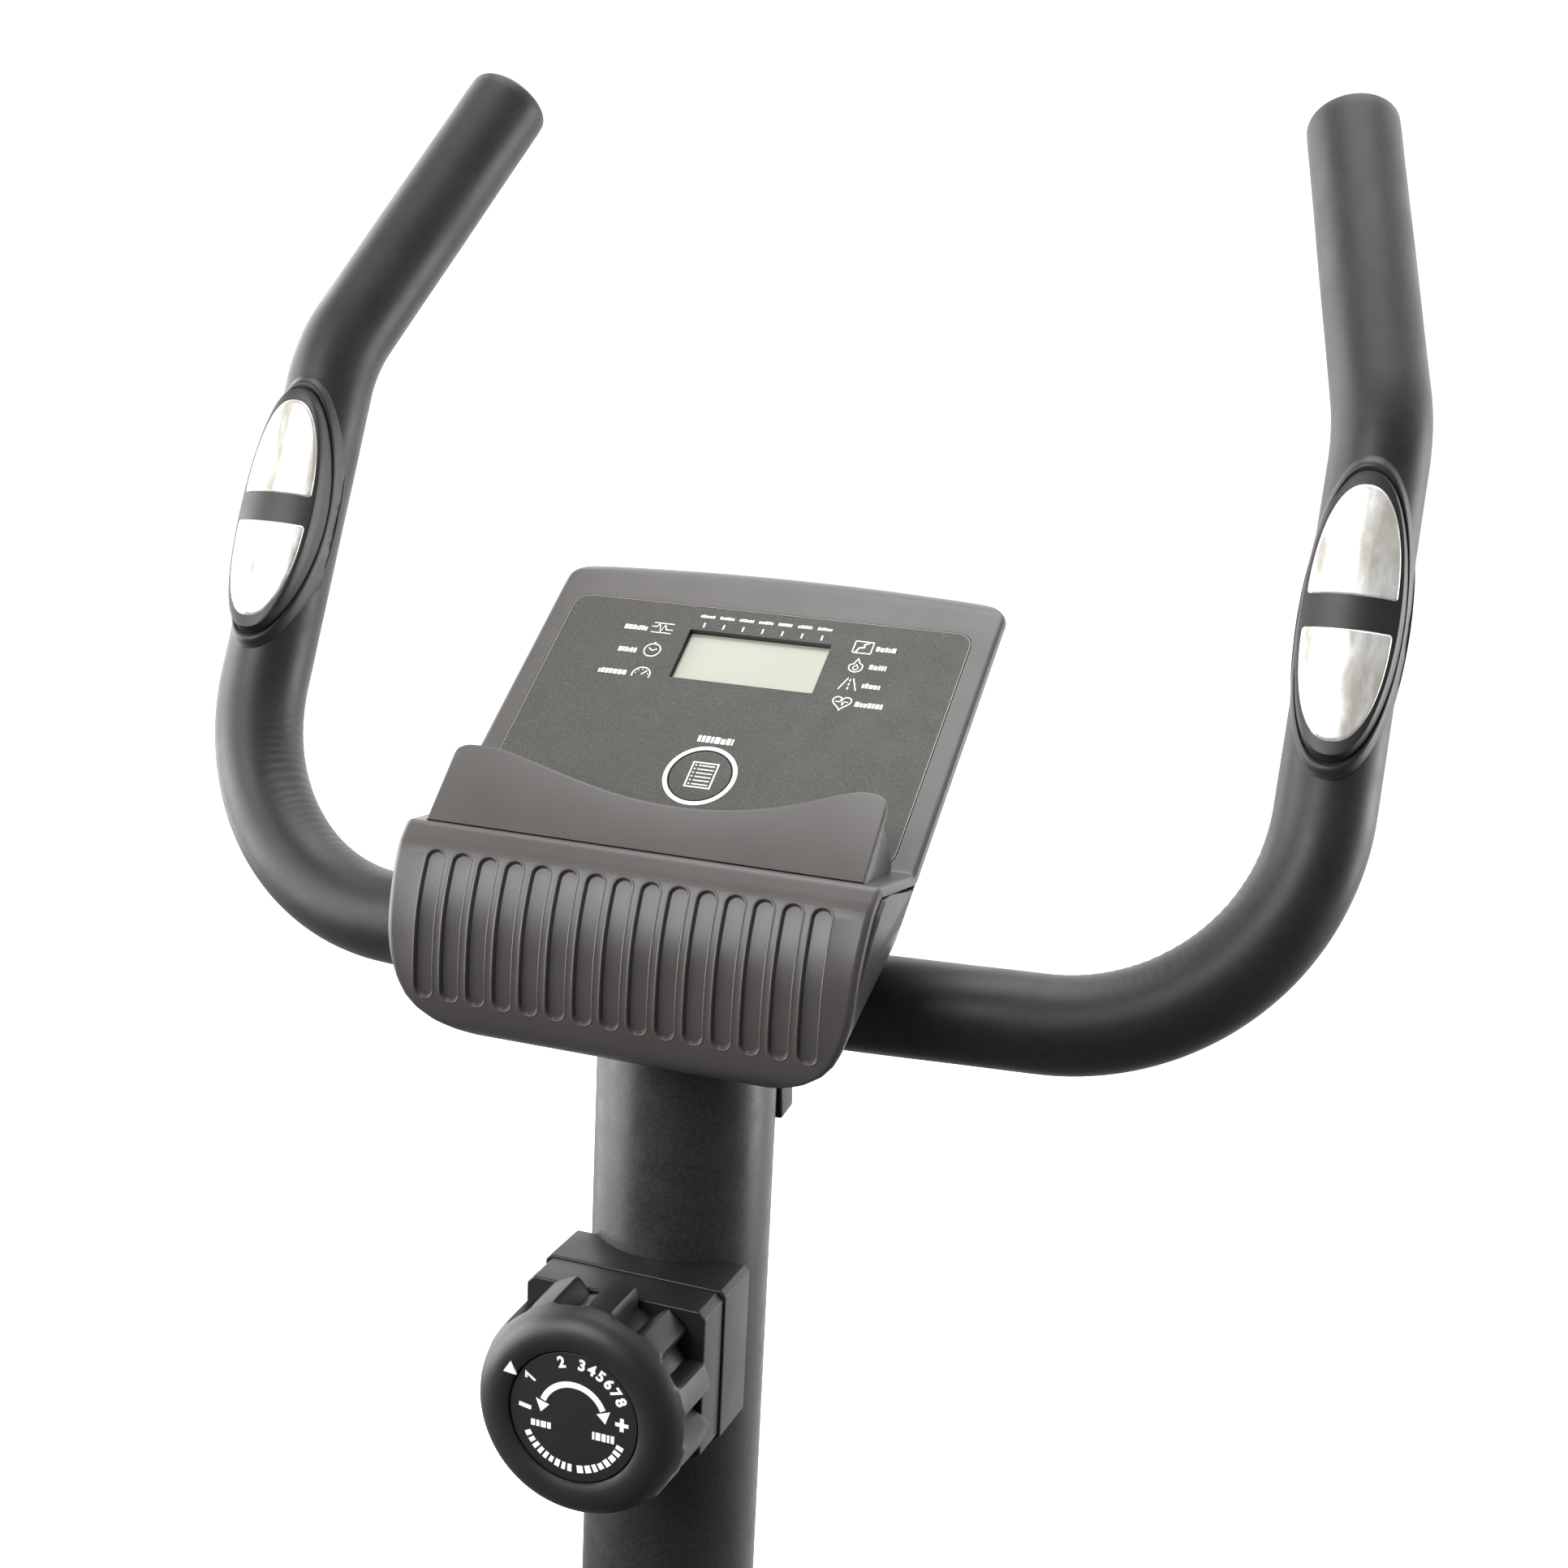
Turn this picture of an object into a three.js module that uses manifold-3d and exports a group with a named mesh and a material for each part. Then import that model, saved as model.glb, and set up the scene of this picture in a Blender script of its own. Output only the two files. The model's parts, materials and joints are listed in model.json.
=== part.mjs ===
// Upright magnetic exercise bike, built as separate pieces.
// Millimetres. +X is the rider's right, +Y the way the rider faces, +Z up.
// The origin lies on the floor under the middle of the bike.
import * as THREE from 'three';
import { mergeVertices } from 'three/addons/utils/BufferGeometryUtils.js';
import Module from 'manifold-3d';

const wasm = await Module();
wasm.setup();

// ---- driving dimensions ----------------------------------------------------------------
const GAP = 0.3; // air between touching pieces
const DEG = Math.PI / 180;

// Handlebar post and the point on its axis that the head is measured from.
const HEAD_Y = 238;
const HEAD_Z = 1030;
const POST_LEAN = 7.7; // degrees forward of upright
const POST_RADIUS = 30;
const POST_WALL = 2;
const POST_BOTTOM = -640; // along the post, from the head point
const POST_TOP = 7;
const CABLE_EXIT = -775; // where the tension cable leaves the upright

// Handlebar centreline, right half, measured from the head point. The left half mirrors it.
const BAR_CENTRE = [0, 0.9, 20.8];
const BAR_CENTRE_CORNER = [45, 0.9, 20.8]; // the bar is straight through its clamp
const BAR_LOWER_CORNER = [191.6, 18.9, 18.6];
const BAR_UPPER_CORNER = [192.3, 123.4, 191.2];
const BAR_TIP = [163, 218, 278.1];
const BAR_LOWER_BEND = 80;
const BAR_UPPER_BEND = 70;
const BAR_CENTRE_BEND = 100;
const BAR_TUBE_RADIUS = 12.7;
const BAR_TUBE_WALL = 1.5;
const BAR_SIDES = 10;
const GRIP_RADIUS = 15.9;
const GRIP_START = 52; // distance from the middle where the foam begins
const GRIP_END_WALL = 5;

// Pulse pods, on the middle stretch of each arm.
const POD_ALONG = 136; // from the lower corner
const POD_HALF_LENGTH = 51;
const POD_HALF_WIDTH = 17.3;
const POD_SKIN = 4.4;
const PLATE_HALF_WIDTH = 14.4;
const PLATE_NEAR = 5.2;
const PLATE_FAR = 42;

// Console, in its own frame: u to the right, v up the face, w out of the face.
const CONSOLE_ORIGIN = [0, 12.7, 86.5];
const CONSOLE_TILT = 29.6; // degrees of the face back from flat
const CASE_HALF_WIDTH = 80;
const CASE_TOP = 90;
const CASE_DEPTH = 26;
const CASE_WALL = 2.6;
const OVERLAY_HALF_WIDTH = 72;
const OVERLAY_BOTTOM = -26;
const OVERLAY_TOP = 73.7;
const LCD_WIDTH = 51;
const LCD_HEIGHT = 22.1;
const LCD_CENTRE_V = 51.4;
const BUTTON_RADIUS = 10.4;
const LIP_HALF_WIDTH = 72.8;

// Tension knob, on the rider's side of the post.
const KNOB_DROP = -97.9;
const KNOB_REACH = 82.8;
const KNOB_RADIUS = 35.8;
const KNOB_LABEL_RADIUS = 21.7;
const KNOB_DEPTH = 26;
const KNOB_LOBES = 11;
const HOUSING_HALF_WIDTH = 33;

// Base.
const STABILISER_RADIUS = 30;
const STABILISER_Z = 38;
const STABILISER_Y = 432;
const STABILISER_HALF = 204;
const CAP_INNER = 172;
const CAP_OUTER = 250;
const BEAM_SIZE = 50;
const BEAM_Z = 85;
const BEAM_HALF = 456;
const BEAM_WALL = 2;
const CAP_RISE = 4; // how far a levelling cap's middle sits above its tube's
const WHEEL_RADIUS = 24;
const WHEEL_Y = 450;
const WHEEL_Z = 33;
const WHEEL_X = [214, 234];

// Drive.
const CRANK_Y = -100;
const CRANK_Z = 300;
const CRANK_LENGTH = 165;
const CRANK_ANGLE = -35; // right crank, degrees above the horizontal in front
const CRANK_INNER_X = 76;
const CRANK_OUTER_X = 89;
const PULLEY_RADIUS = 120;
const FLYWHEEL_Y = 302;
const FLYWHEEL_Z = 312;
const FLYWHEEL_RADIUS = 112;
const SMALL_PULLEY_RADIUS = 20;
const BELT_X = [37, 49];
const BELT_THICKNESS = 4;
const IDLER = [96, 211]; // the roller's axle, in Y and Z
const IDLER_RADIUS = 14;
const MAGNET_SWING = 4; // degrees between the lowest and highest tension
const UPRIGHT_RADIUS = 33.5;
const UPRIGHT_TOP = -556; // along the post
const PEDAL_LENGTH = 92; // along the pedal's axle
const PEDAL_WIDTH = 80;
const PEDAL_CENTRE_X = 146;
const STRAP_HEIGHT = 74; // above the pedal's axle

// Seat.
const SEAT_LEAN = 17; // degrees back from upright
const SEAT_FOOT = [0, -90, 112];
const SEAT_TUBE_LENGTH = 468;
const SEAT_TUBE_RADIUS = 25;
const SEAT_TUBE_BORE = 22.3;
const SEAT_POST_RADIUS = 19;
const SEAT_POST_SPAN = [215, 640]; // along the seat tube at rest
const SEAT_PIN_ALONG = 425;
const SEAT_HOLE_PITCH = 30;
const SADDLE_LENGTH = 262;
const SADDLE_WIDTH = 214;

// Cover round the belt and flywheel.
const COVER_HALF_WIDTH = 69;
const COVER_WALL = 2.8;
const COVER_REAR_RADIUS = 146;
const COVER_FRONT_RADIUS = 142;
const COVER_EDGE = 16;

// ---- materials -------------------------------------------------------------------------
function finish(color, roughness, metalness = 0) {
  return () => new THREE.MeshStandardMaterial({ color, roughness, metalness });
}
const paint = finish(0x2c2c2e, 0.5, 0.2);
const foam = finish(0x303031, 0.9);
const casePlastic = finish(0x4b4a48, 0.55);
const trimPlastic = finish(0x262627, 0.5);
const coverPlastic = finish(0x2e2f31, 0.45);
const labelPlastic = finish(0x55554f, 0.6);
const steel = finish(0xc9c9c6, 0.3, 1);
const castIron = finish(0x5b5d60, 0.5, 0.9);
const clear = finish(0xcdd3c6, 0.15);
const rubber = finish(0x1d1d1e, 0.85);
const vinyl = finish(0x1b1b1c, 0.6);
const board = finish(0x2c5b3a, 0.6);
const nylon = finish(0x8b8c8a, 0.6);

// ---- shape helpers ---------------------------------------------------------------------
const vec = (a) => new THREE.Vector3(...a);

function toSolid(geometry) {
  const plain = geometry.index ? geometry.toNonIndexed() : geometry.clone();
  plain.deleteAttribute('normal');
  plain.deleteAttribute('uv');
  const merged = mergeVertices(plain, 1e-4);
  const build = (triVerts) => new wasm.Manifold(new wasm.Mesh({
    numProp: 3,
    vertProperties: new Float32Array(merged.attributes.position.array),
    triVerts,
  }));
  const triangles = new Uint32Array(merged.index.array);
  const solid = build(triangles);
  return solid.volume() < 0 ? build(triangles.reverse()) : solid;
}

function toGeometry(solid) {
  const mesh = solid.getMesh();
  const geometry = new THREE.BufferGeometry();
  geometry.setAttribute('position', new THREE.BufferAttribute(mesh.vertProperties, 3));
  geometry.setIndex(new THREE.BufferAttribute(mesh.triVerts, 1));
  geometry.computeVertexNormals();
  return geometry;
}

function add(group, name, solid, material) {
  const mesh = new THREE.Mesh(toGeometry(solid), material());
  mesh.name = name;
  group.add(mesh);
  return mesh;
}

function block(size, centre, turnX = 0) {
  const geometry = new THREE.BoxGeometry(...size);
  geometry.rotateX(turnX * DEG);
  geometry.translate(...centre);
  return toSolid(geometry);
}

function rod(start, end, radius, sides = 20, endRadius = radius) {
  const a = vec(start);
  const b = vec(end);
  const geometry = new THREE.CylinderGeometry(endRadius, radius, a.distanceTo(b), sides);
  const along = b.clone().sub(a).normalize();
  geometry.applyQuaternion(new THREE.Quaternion().setFromUnitVectors(new THREE.Vector3(0, 1, 0), along));
  geometry.translate(...a.add(b).multiplyScalar(0.5).toArray());
  return toSolid(geometry);
}

// A body of revolution: the profile's points are [radius, distance along the axis from start].
function turned(profile, start, axis, sides = 24) {
  const geometry = new THREE.LatheGeometry(profile.map(([r, h]) => new THREE.Vector2(r, h)), sides);
  const up = new THREE.Vector3(0, 1, 0);
  geometry.applyQuaternion(new THREE.Quaternion().setFromUnitVectors(up, vec(axis).normalize()));
  geometry.translate(...start);
  return toSolid(geometry);
}

function ring(inner, outer, from, to) {
  return [[inner, from], [outer, from], [outer, to], [inner, to], [inner, from]];
}

function circle(radius, sides, [cx, cy] = [0, 0]) {
  return Array.from({ length: sides }, (_, i) => {
    const a = (i / sides) * 2 * Math.PI;
    return [cx + radius * Math.cos(a), cy + radius * Math.sin(a)];
  });
}

function arc([cx, cy], radius, from, to, steps) {
  return Array.from({ length: steps + 1 }, (_, i) => {
    const a = (from + ((to - from) * i) / steps) * DEG;
    return [cx + radius * Math.cos(a), cy + radius * Math.sin(a)];
  });
}

function roundedBox(halfWidth, bottom, top, radius, steps = 3) {
  return [
    ...arc([halfWidth - radius, bottom + radius], radius, -90, 0, steps),
    ...arc([halfWidth - radius, top - radius], radius, 0, 90, steps),
    ...arc([radius - halfWidth, top - radius], radius, 90, 180, steps),
    ...arc([radius - halfWidth, bottom + radius], radius, 180, 270, steps),
  ];
}

const outline = (points) => new THREE.Shape(points.map(([x, y]) => new THREE.Vector2(x, y)));

// An outline in X and Y, from height z0 to z1.
function prismZ(points, z0, z1) {
  const geometry = new THREE.ExtrudeGeometry(outline(points), { depth: z1 - z0, bevelEnabled: false });
  geometry.translate(0, 0, z0);
  return toSolid(geometry);
}

const YZ_TO_XYZ = new THREE.Matrix4().makeBasis(
  new THREE.Vector3(0, 1, 0),
  new THREE.Vector3(0, 0, 1),
  new THREE.Vector3(1, 0, 0),
);

// An outline in Y and Z, from x0 to x1. A bevel rounds the edges at both ends.
function prismX(points, x0, x1, bevel = 0, bevelSegments = 1) {
  const geometry = new THREE.ExtrudeGeometry(outline(points), {
    depth: x1 - x0 - 2 * bevel,
    bevelEnabled: bevel > 0,
    bevelThickness: bevel,
    bevelSize: bevel,
    bevelOffset: -bevel,
    bevelSegments,
  });
  geometry.translate(0, 0, x0 + bevel);
  geometry.applyMatrix4(YZ_TO_XYZ);
  return toSolid(geometry);
}

// A centreline through corner points, each corner rounded to its bend radius.
// It keeps one ring at each end of a straight and one every 20 degrees of a bend.
class BentPath extends THREE.Curve {
  constructor(corners, bends) {
    super();
    const points = corners.map(vec);
    const direction = (i) => points[i + 1].clone().sub(points[i]).normalize();
    this.rings = [{ point: points[0], tangent: direction(0) }];
    for (let i = 1; i < points.length - 1; i += 1) {
      const before = direction(i - 1);
      const after = direction(i);
      const angle = before.angleTo(after);
      const inward = after.clone().sub(before).normalize();
      const radius = bends[i - 1];
      const centre = points[i].clone().addScaledVector(inward, radius / Math.cos(angle / 2));
      const steps = Math.max(2, Math.ceil(angle / (20 * DEG)));
      const axis = before.clone().cross(after).normalize();
      const start = points[i].clone().addScaledVector(before, -radius * Math.tan(angle / 2)).sub(centre);
      for (let k = 0; k <= steps; k += 1) {
        const turn = (angle * k) / steps;
        this.rings.push({
          point: start.clone().applyAxisAngle(axis, turn).add(centre),
          tangent: before.clone().applyAxisAngle(axis, turn),
        });
      }
    }
    this.rings.push({ point: points.at(-1), tangent: direction(points.length - 2) });
  }

  at(t) {
    return this.rings[Math.round(t * (this.rings.length - 1))];
  }

  getPointAt(t) {
    return this.at(t).point.clone();
  }

  getTangentAt(t) {
    return this.at(t).tangent.clone();
  }
}

function bentTube(path, radius, sides, bore = 0) {
  const section = outline(circle(radius, sides));
  if (bore > 0) section.holes.push(outline(circle(bore, sides).reverse()));
  const steps = path.rings.length - 1;
  return toSolid(new THREE.ExtrudeGeometry(section, { steps, extrudePath: path, bevelEnabled: false }));
}

function joined(first, ...rest) {
  return rest.reduce((sum, solid) => sum.add(solid), first);
}

function cut(first, ...rest) {
  return rest.reduce((left, solid) => left.subtract(solid), first);
}

function pipe(start, end, radius, bore, sides = 24) {
  const along = vec(end).sub(vec(start)).normalize();
  const first = vec(start).addScaledVector(along, -1).toArray();
  const last = vec(end).addScaledVector(along, 1).toArray();
  return cut(rod(start, end, radius, sides), rod(first, last, bore, sides));
}

const SIDES = [['left', -1], ['right', 1]];

// ---- frame -----------------------------------------------------------------------------
// Points on the post's axis and on the seat tube's axis, in the bike's frame.
const leanSin = Math.sin(POST_LEAN * DEG);
const leanCos = Math.cos(POST_LEAN * DEG);
const onHeadPost = (s, ahead = 0) => [0, s * leanSin + ahead * leanCos, s * leanCos - ahead * leanSin];
const onPost = (s, ahead = 0) => onHeadPost(s, ahead).map((c, i) => c + [0, HEAD_Y, HEAD_Z][i]);
const seatAxis = [0, -Math.sin(SEAT_LEAN * DEG), Math.cos(SEAT_LEAN * DEG)];
const onSeat = (s) => SEAT_FOOT.map((c, i) => c + s * seatAxis[i]);
const seatTubeBody = (radius) => rod(onSeat(-60), onSeat(SEAT_TUBE_LENGTH), radius, 24);

function baseBeam() {
  const half = BEAM_SIZE / 2;
  const section = (inset) => {
    return roundedBox(half - inset, BEAM_Z - half + inset, BEAM_Z + half - inset, 8 - inset, 2);
  };
  const toY = (points, reach) => {
    const geometry = new THREE.ExtrudeGeometry(outline(points), { depth: 2 * reach, bevelEnabled: false });
    geometry.rotateX(90 * DEG);
    geometry.translate(0, reach, 0);
    return toSolid(geometry);
  };
  const copes = [-1, 1].map((side) => rod(
    [-60, side * STABILISER_Y, STABILISER_Z],
    [60, side * STABILISER_Y, STABILISER_Z],
    STABILISER_RADIUS + GAP,
    28,
  ));
  return cut(toY(section(0), BEAM_HALF), toY(section(BEAM_WALL), BEAM_HALF + 1), ...copes);
}

// The front upright, with the idler's bracket welded to its side.
function upright() {
  const [y, z] = IDLER;
  const arm = [[y - 9, z - 9], [y + 9, z - 9], [150, 262], [150, 290], [120, 290]];
  const outside = joined(
    rod(onPost(-960), onPost(UPRIGHT_TOP), UPRIGHT_RADIUS, 28),
    prismX(arm, 52, 55),
    block([28, 26, 26], [41, 136, 276]),
    rod([36, y, z], [53, y, z], 4, 14),
  );
  const below = block([100, 300, 100], [0, 110, BEAM_Z + BEAM_SIZE / 2 + GAP - 50]);
  const cableExit = rod(onPost(CABLE_EXIT), onPost(CABLE_EXIT, 60), 6, 12);
  const bore = rod(onPost(-961), onPost(UPRIGHT_TOP + 1), POST_RADIUS + GAP, 28);
  return cut(outside, bore, below, cableExit);
}

// The seat tube, with the crank axle's shell and the pull pin's boss welded to it.
function seatTube() {
  const crankAt = (x) => [x, CRANK_Y, CRANK_Z];
  const outside = joined(
    seatTubeBody(SEAT_TUBE_RADIUS),
    rod(crankAt(-34), crankAt(34), 22, 20),
    seatPinRod(10, 37),
  );
  const below = block([100, 300, 100], [0, -100, BEAM_Z + BEAM_SIZE / 2 + GAP - 50]);
  const bore = rod(onSeat(-61), onSeat(SEAT_TUBE_LENGTH + 1), SEAT_TUBE_BORE, 20);
  return cut(outside, bore, below, rod(crankAt(-35), crankAt(35), 17, 20), seatPinRod(5.2, 60));
}

// The pull pin lies square to the seat tube, on its rear side.
const seatPinAxis = [0, -Math.cos(SEAT_LEAN * DEG), -Math.sin(SEAT_LEAN * DEG)];
const onSeatPin = (out) => onSeat(SEAT_PIN_ALONG).map((c, i) => c + out * seatPinAxis[i]);
function seatPinRod(radius, reach) {
  return rod(onSeatPin(0), onSeatPin(reach), radius, 14);
}

function flywheelFork() {
  const plan = [
    [-27, 150], [59, 150], [59, 330], [55, 330], [55, 186], [-23, 186], [-23, 330], [-27, 330],
  ];
  const body = prismZ(plan, FLYWHEEL_Z - 20, FLYWHEEL_Z + 20);
  const axleHole = rod([-40, FLYWHEEL_Y, FLYWHEEL_Z], [70, FLYWHEEL_Y, FLYWHEEL_Z], 6.3, 16);
  return cut(body, axleHole, rod(onPost(-960), onPost(UPRIGHT_TOP), UPRIGHT_RADIUS + GAP, 28));
}

function buildFrame(bike) {
  add(bike, 'base_beam', baseBeam(), paint);
  add(bike, 'front_upright', upright(), paint);
  add(bike, 'seat_tube', seatTube(), paint);
  add(bike, 'flywheel_fork', flywheelFork(), paint);
  for (const [end, side] of [['front', 1], ['rear', -1]]) {
    const at = (x) => [x, side * STABILISER_Y, STABILISER_Z];
    const tube = pipe(at(-STABILISER_HALF), at(STABILISER_HALF), STABILISER_RADIUS, STABILISER_RADIUS - 1.5, 28);
    add(bike, `${end}_stabiliser`, tube, paint);
  }
}

// ---- stabiliser ends -------------------------------------------------------------------
function buildFrontCap(bike, name, side) {
  const at = (x, y = STABILISER_Y, z = STABILISER_Z) => [side * x, y, z];
  const length = CAP_OUTER - CAP_INNER;
  const socket = turned(
    [[0, 0], [34, 0], [36, 8], [36, length - 9], [30, length], [0, length]],
    at(CAP_INNER),
    [side, 0, 0],
    24,
  );
  const foot = block([length - 22, 34, 30], at(CAP_INNER + length / 2 + 3, STABILISER_Y - 8, 15));
  const bore = rod(at(CAP_INNER - 1), at(STABILISER_HALF + GAP), STABILISER_RADIUS + GAP, 28);
  const [inner, outer] = WHEEL_X;
  const wheelRoom = rod(at(inner - 1, WHEEL_Y, WHEEL_Z), at(outer + 1, WHEEL_Y, WHEEL_Z), WHEEL_RADIUS + 2, 24);
  const axle = rod(at(inner - 4, WHEEL_Y, WHEEL_Z), at(outer + 4, WHEEL_Y, WHEEL_Z), 5, 14);
  const ears = rod(at(inner - 8, WHEEL_Y, WHEEL_Z), at(outer + 8, WHEEL_Y, WHEEL_Z), 12, 20);
  const cap = cut(joined(socket, foot, ears), bore, wheelRoom);
  add(bike, `front_cap_${name}`, joined(cap, axle), rubber);
  const width = outer - inner;
  const wheel = turned(
    [[5 + GAP, 0], [WHEEL_RADIUS - 3, 0], [WHEEL_RADIUS, 4], [WHEEL_RADIUS, width - 4],
      [WHEEL_RADIUS - 3, width], [5 + GAP, width], [5 + GAP, 0]],
    at(inner, WHEEL_Y, WHEEL_Z),
    [side, 0, 0],
    20,
  );
  add(bike, `transport_wheel_${name}`, wheel, nylon);
}

// A levelling cap: a round sleeve whose middle sits above the tube's, so turning it lifts the end.
function buildRearCap(bike, name, side) {
  const at = (x, z = STABILISER_Z) => [side * x, -STABILISER_Y, z];
  const length = CAP_OUTER - CAP_INNER;
  const sleeve = turned(
    [[0, 0], [40, 0], [42, 5], [42, length - 12], [34, length], [0, length]],
    at(CAP_INNER, STABILISER_Z + CAP_RISE),
    [side, 0, 0],
    28,
  );
  const bore = rod(at(CAP_INNER - 1), at(STABILISER_HALF + GAP), STABILISER_RADIUS + GAP, 28);
  add(bike, `levelling_cap_${name}`, cut(sleeve, bore), rubber);
}

// ---- drive -----------------------------------------------------------------------------
function buildCrank(bike) {
  const at = (x) => [x, CRANK_Y, CRANK_Z];
  add(bike, 'crank_axle', rod(at(-86), at(86), 8.5, 20), steel);
  for (const [name, side] of SIDES) {
    const race = turned(ring(8.5 + GAP, 16.7, 0, 11), at(side * 21), [side, 0, 0], 20);
    add(bike, `crank_bearing_${name}`, race, steel);
  }
  const pulley = turned(
    [[8.8, 36], [24, 36], [24, 41], [108, 41], [108, 36], [PULLEY_RADIUS, 36], [PULLEY_RADIUS, 50],
      [108, 50], [108, 45], [24, 45], [24, 50], [8.8, 50], [8.8, 36]],
    at(0),
    [1, 0, 0],
    32,
  );
  add(bike, 'crank_pulley', pulley, trimPlastic);
  for (const [name, side] of SIDES) buildCrankArm(bike, name, side);
}

function buildCrankArm(bike, name, side) {
  const group = new THREE.Group();
  group.position.set(0, CRANK_Y, CRANK_Z);
  group.rotation.x = (side > 0 ? CRANK_ANGLE : CRANK_ANGLE + 180) * DEG;
  bike.add(group);
  const inner = side > 0 ? CRANK_INNER_X : -CRANK_OUTER_X;
  const outer = side > 0 ? CRANK_OUTER_X : -CRANK_INNER_X;
  const profile = [...arc([0, 0], 17, 60, 300, 8), ...arc([CRANK_LENGTH, 0], 13, -75, 75, 6)];
  const pedalAxle = rod([side * 88, CRANK_LENGTH, 0], [side * (PEDAL_CENTRE_X + 40), CRANK_LENGTH, 0], 6.5, 16);
  const collar = rod([side * 88, CRANK_LENGTH, 0], [side * 97, CRANK_LENGTH, 0], 9.5, 16);
  const axleBore = rod([side * 70, 0, 0], [side * 86.3, 0, 0], 8.5 + GAP, 20);
  const arm = cut(joined(prismX(profile, inner, outer), pedalAxle, collar), axleBore);
  add(group, `crank_arm_${name}`, arm, steel);

  const pedal = new THREE.Group();
  pedal.position.set(side * PEDAL_CENTRE_X, CRANK_LENGTH, 0);
  pedal.rotation.x = -group.rotation.x;
  group.add(pedal);
  buildPedal(pedal, name, side);
}

function buildPedal(pedal, name, side) {
  const half = PEDAL_LENGTH / 2;
  const plan = roundedBox(half, -PEDAL_WIDTH / 2, PEDAL_WIDTH / 2, 9, 2);
  const windows = [-24, 24].map((y) => prismZ(
    roundedBox(half - 9, y - 8, y + 8, 3, 1),
    -30,
    30,
  ));
  const bore = rod([side * (-half - 1), 0, 0], [side * (half - 5.5), 0, 0], 6.5 + GAP, 16);
  add(pedal, `pedal_${name}`, cut(prismZ(plan, -13, 13), bore, ...windows), trimPlastic);

  // The strap arches over the foot. Its inner leg stops above the pedal's axle.
  const reach = half + 3.2;
  const band = 2.6;
  const bend = 22;
  const lean = 16; // the height from which the legs lean in
  const shoulder = reach - 12 - bend;
  const legEnd = [10, -8];
  const [leftEnd, rightEnd] = side > 0 ? legEnd : [legEnd[1], legEnd[0]];
  const arch = [
    [-reach, leftEnd], [-reach, lean], ...arc([-shoulder, STRAP_HEIGHT - bend], bend, 180, 90, 3),
    ...arc([shoulder, STRAP_HEIGHT - bend], bend, 90, 0, 3), [reach, lean], [reach, rightEnd],
    [reach - band, rightEnd], [reach - band, lean],
    ...arc([shoulder, STRAP_HEIGHT - bend], bend - band, 0, 90, 3),
    ...arc([-shoulder, STRAP_HEIGHT - bend], bend - band, 90, 180, 3), [band - reach, lean],
    [band - reach, leftEnd],
  ];
  const strap = new THREE.ExtrudeGeometry(outline(arch), { depth: 24, bevelEnabled: false });
  strap.rotateX(90 * DEG);
  strap.translate(0, 12, 0);
  add(pedal, `pedal_strap_${name}`, toSolid(strap), rubber);
}

// The outline that a belt takes round two pulleys lying in the Y, Z plane.
function beltLine([ay, az], ra, [by, bz], rb, stepsA, stepsB) {
  const line = Math.atan2(bz - az, by - ay) / DEG;
  const open = Math.acos((ra - rb) / Math.hypot(by - ay, bz - az)) / DEG;
  return [
    ...arc([ay, az], ra, line + open, line + 360 - open, stepsA),
    ...arc([by, bz], rb, line - open, line + open, stepsB),
  ];
}

function buildBelt(bike) {
  const axisA = [CRANK_Y, CRANK_Z];
  const axisB = [FLYWHEEL_Y, FLYWHEEL_Z];
  const inner = PULLEY_RADIUS + 2 * GAP;
  const small = SMALL_PULLEY_RADIUS + 2 * GAP;
  const outside = beltLine(axisA, inner + BELT_THICKNESS, axisB, small + BELT_THICKNESS, 24, 10);
  const inside = beltLine(axisA, inner, axisB, small, 24, 10);
  const loop = cut(prismX(outside, ...BELT_X), prismX(inside, BELT_X[0] - 1, BELT_X[1] + 1));
  add(bike, 'drive_belt', loop, rubber);
}

function buildFlywheel(bike) {
  const at = [0, FLYWHEEL_Y, FLYWHEEL_Z];
  const wheel = turned(
    [[6.3, -20], [22, -20], [22, -5], [90, -5], [90, -14], [FLYWHEEL_RADIUS, -14], [FLYWHEEL_RADIUS, 14],
      [90, 14], [90, 5], [22, 5], [16, 24], [16, 36], [SMALL_PULLEY_RADIUS, 36],
      [SMALL_PULLEY_RADIUS, 50], [6.3, 50], [6.3, -20]],
    at,
    [1, 0, 0],
    32,
  );
  add(bike, 'flywheel', wheel, castIron);
  add(bike, 'flywheel_axle', rod([-34, FLYWHEEL_Y, FLYWHEEL_Z], [65, FLYWHEEL_Y, FLYWHEEL_Z], 6, 16), steel);
}

// The magnet shoe hangs from a pivot under the flywheel. It is drawn closed on the rim, then
// opened to the place that it has at the lowest tension.
const MAGNET_PIVOT = [FLYWHEEL_Y + 26, FLYWHEEL_Z - 122];
function buildMagnetShoe(bike) {
  const group = new THREE.Group();
  group.position.set(0, ...MAGNET_PIVOT);
  group.rotation.x = MAGNET_SWING * DEG;
  bike.add(group);
  const centre = [FLYWHEEL_Y - MAGNET_PIVOT[0], FLYWHEEL_Z - MAGNET_PIVOT[1]];
  const band = [...arc(centre, FLYWHEEL_RADIUS + 8, -150, -80, 10),
    ...arc(centre, FLYWHEEL_RADIUS + 12, -80, -150, 10)];
  const eye = prismX(circle(8, 16), -14, 14);
  const shoe = cut(joined(prismX(band, -14, 14), eye), prismX(circle(4.3, 14), -20, 20));
  add(group, 'magnet_shoe', shoe, steel);
  const face = [...arc(centre, FLYWHEEL_RADIUS + 2, -145, -95, 8), ...arc(centre, FLYWHEEL_RADIUS + 7.7, -95, -145, 8)];
  add(group, 'magnets', prismX(face, -12, 12), castIron);
}

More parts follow.
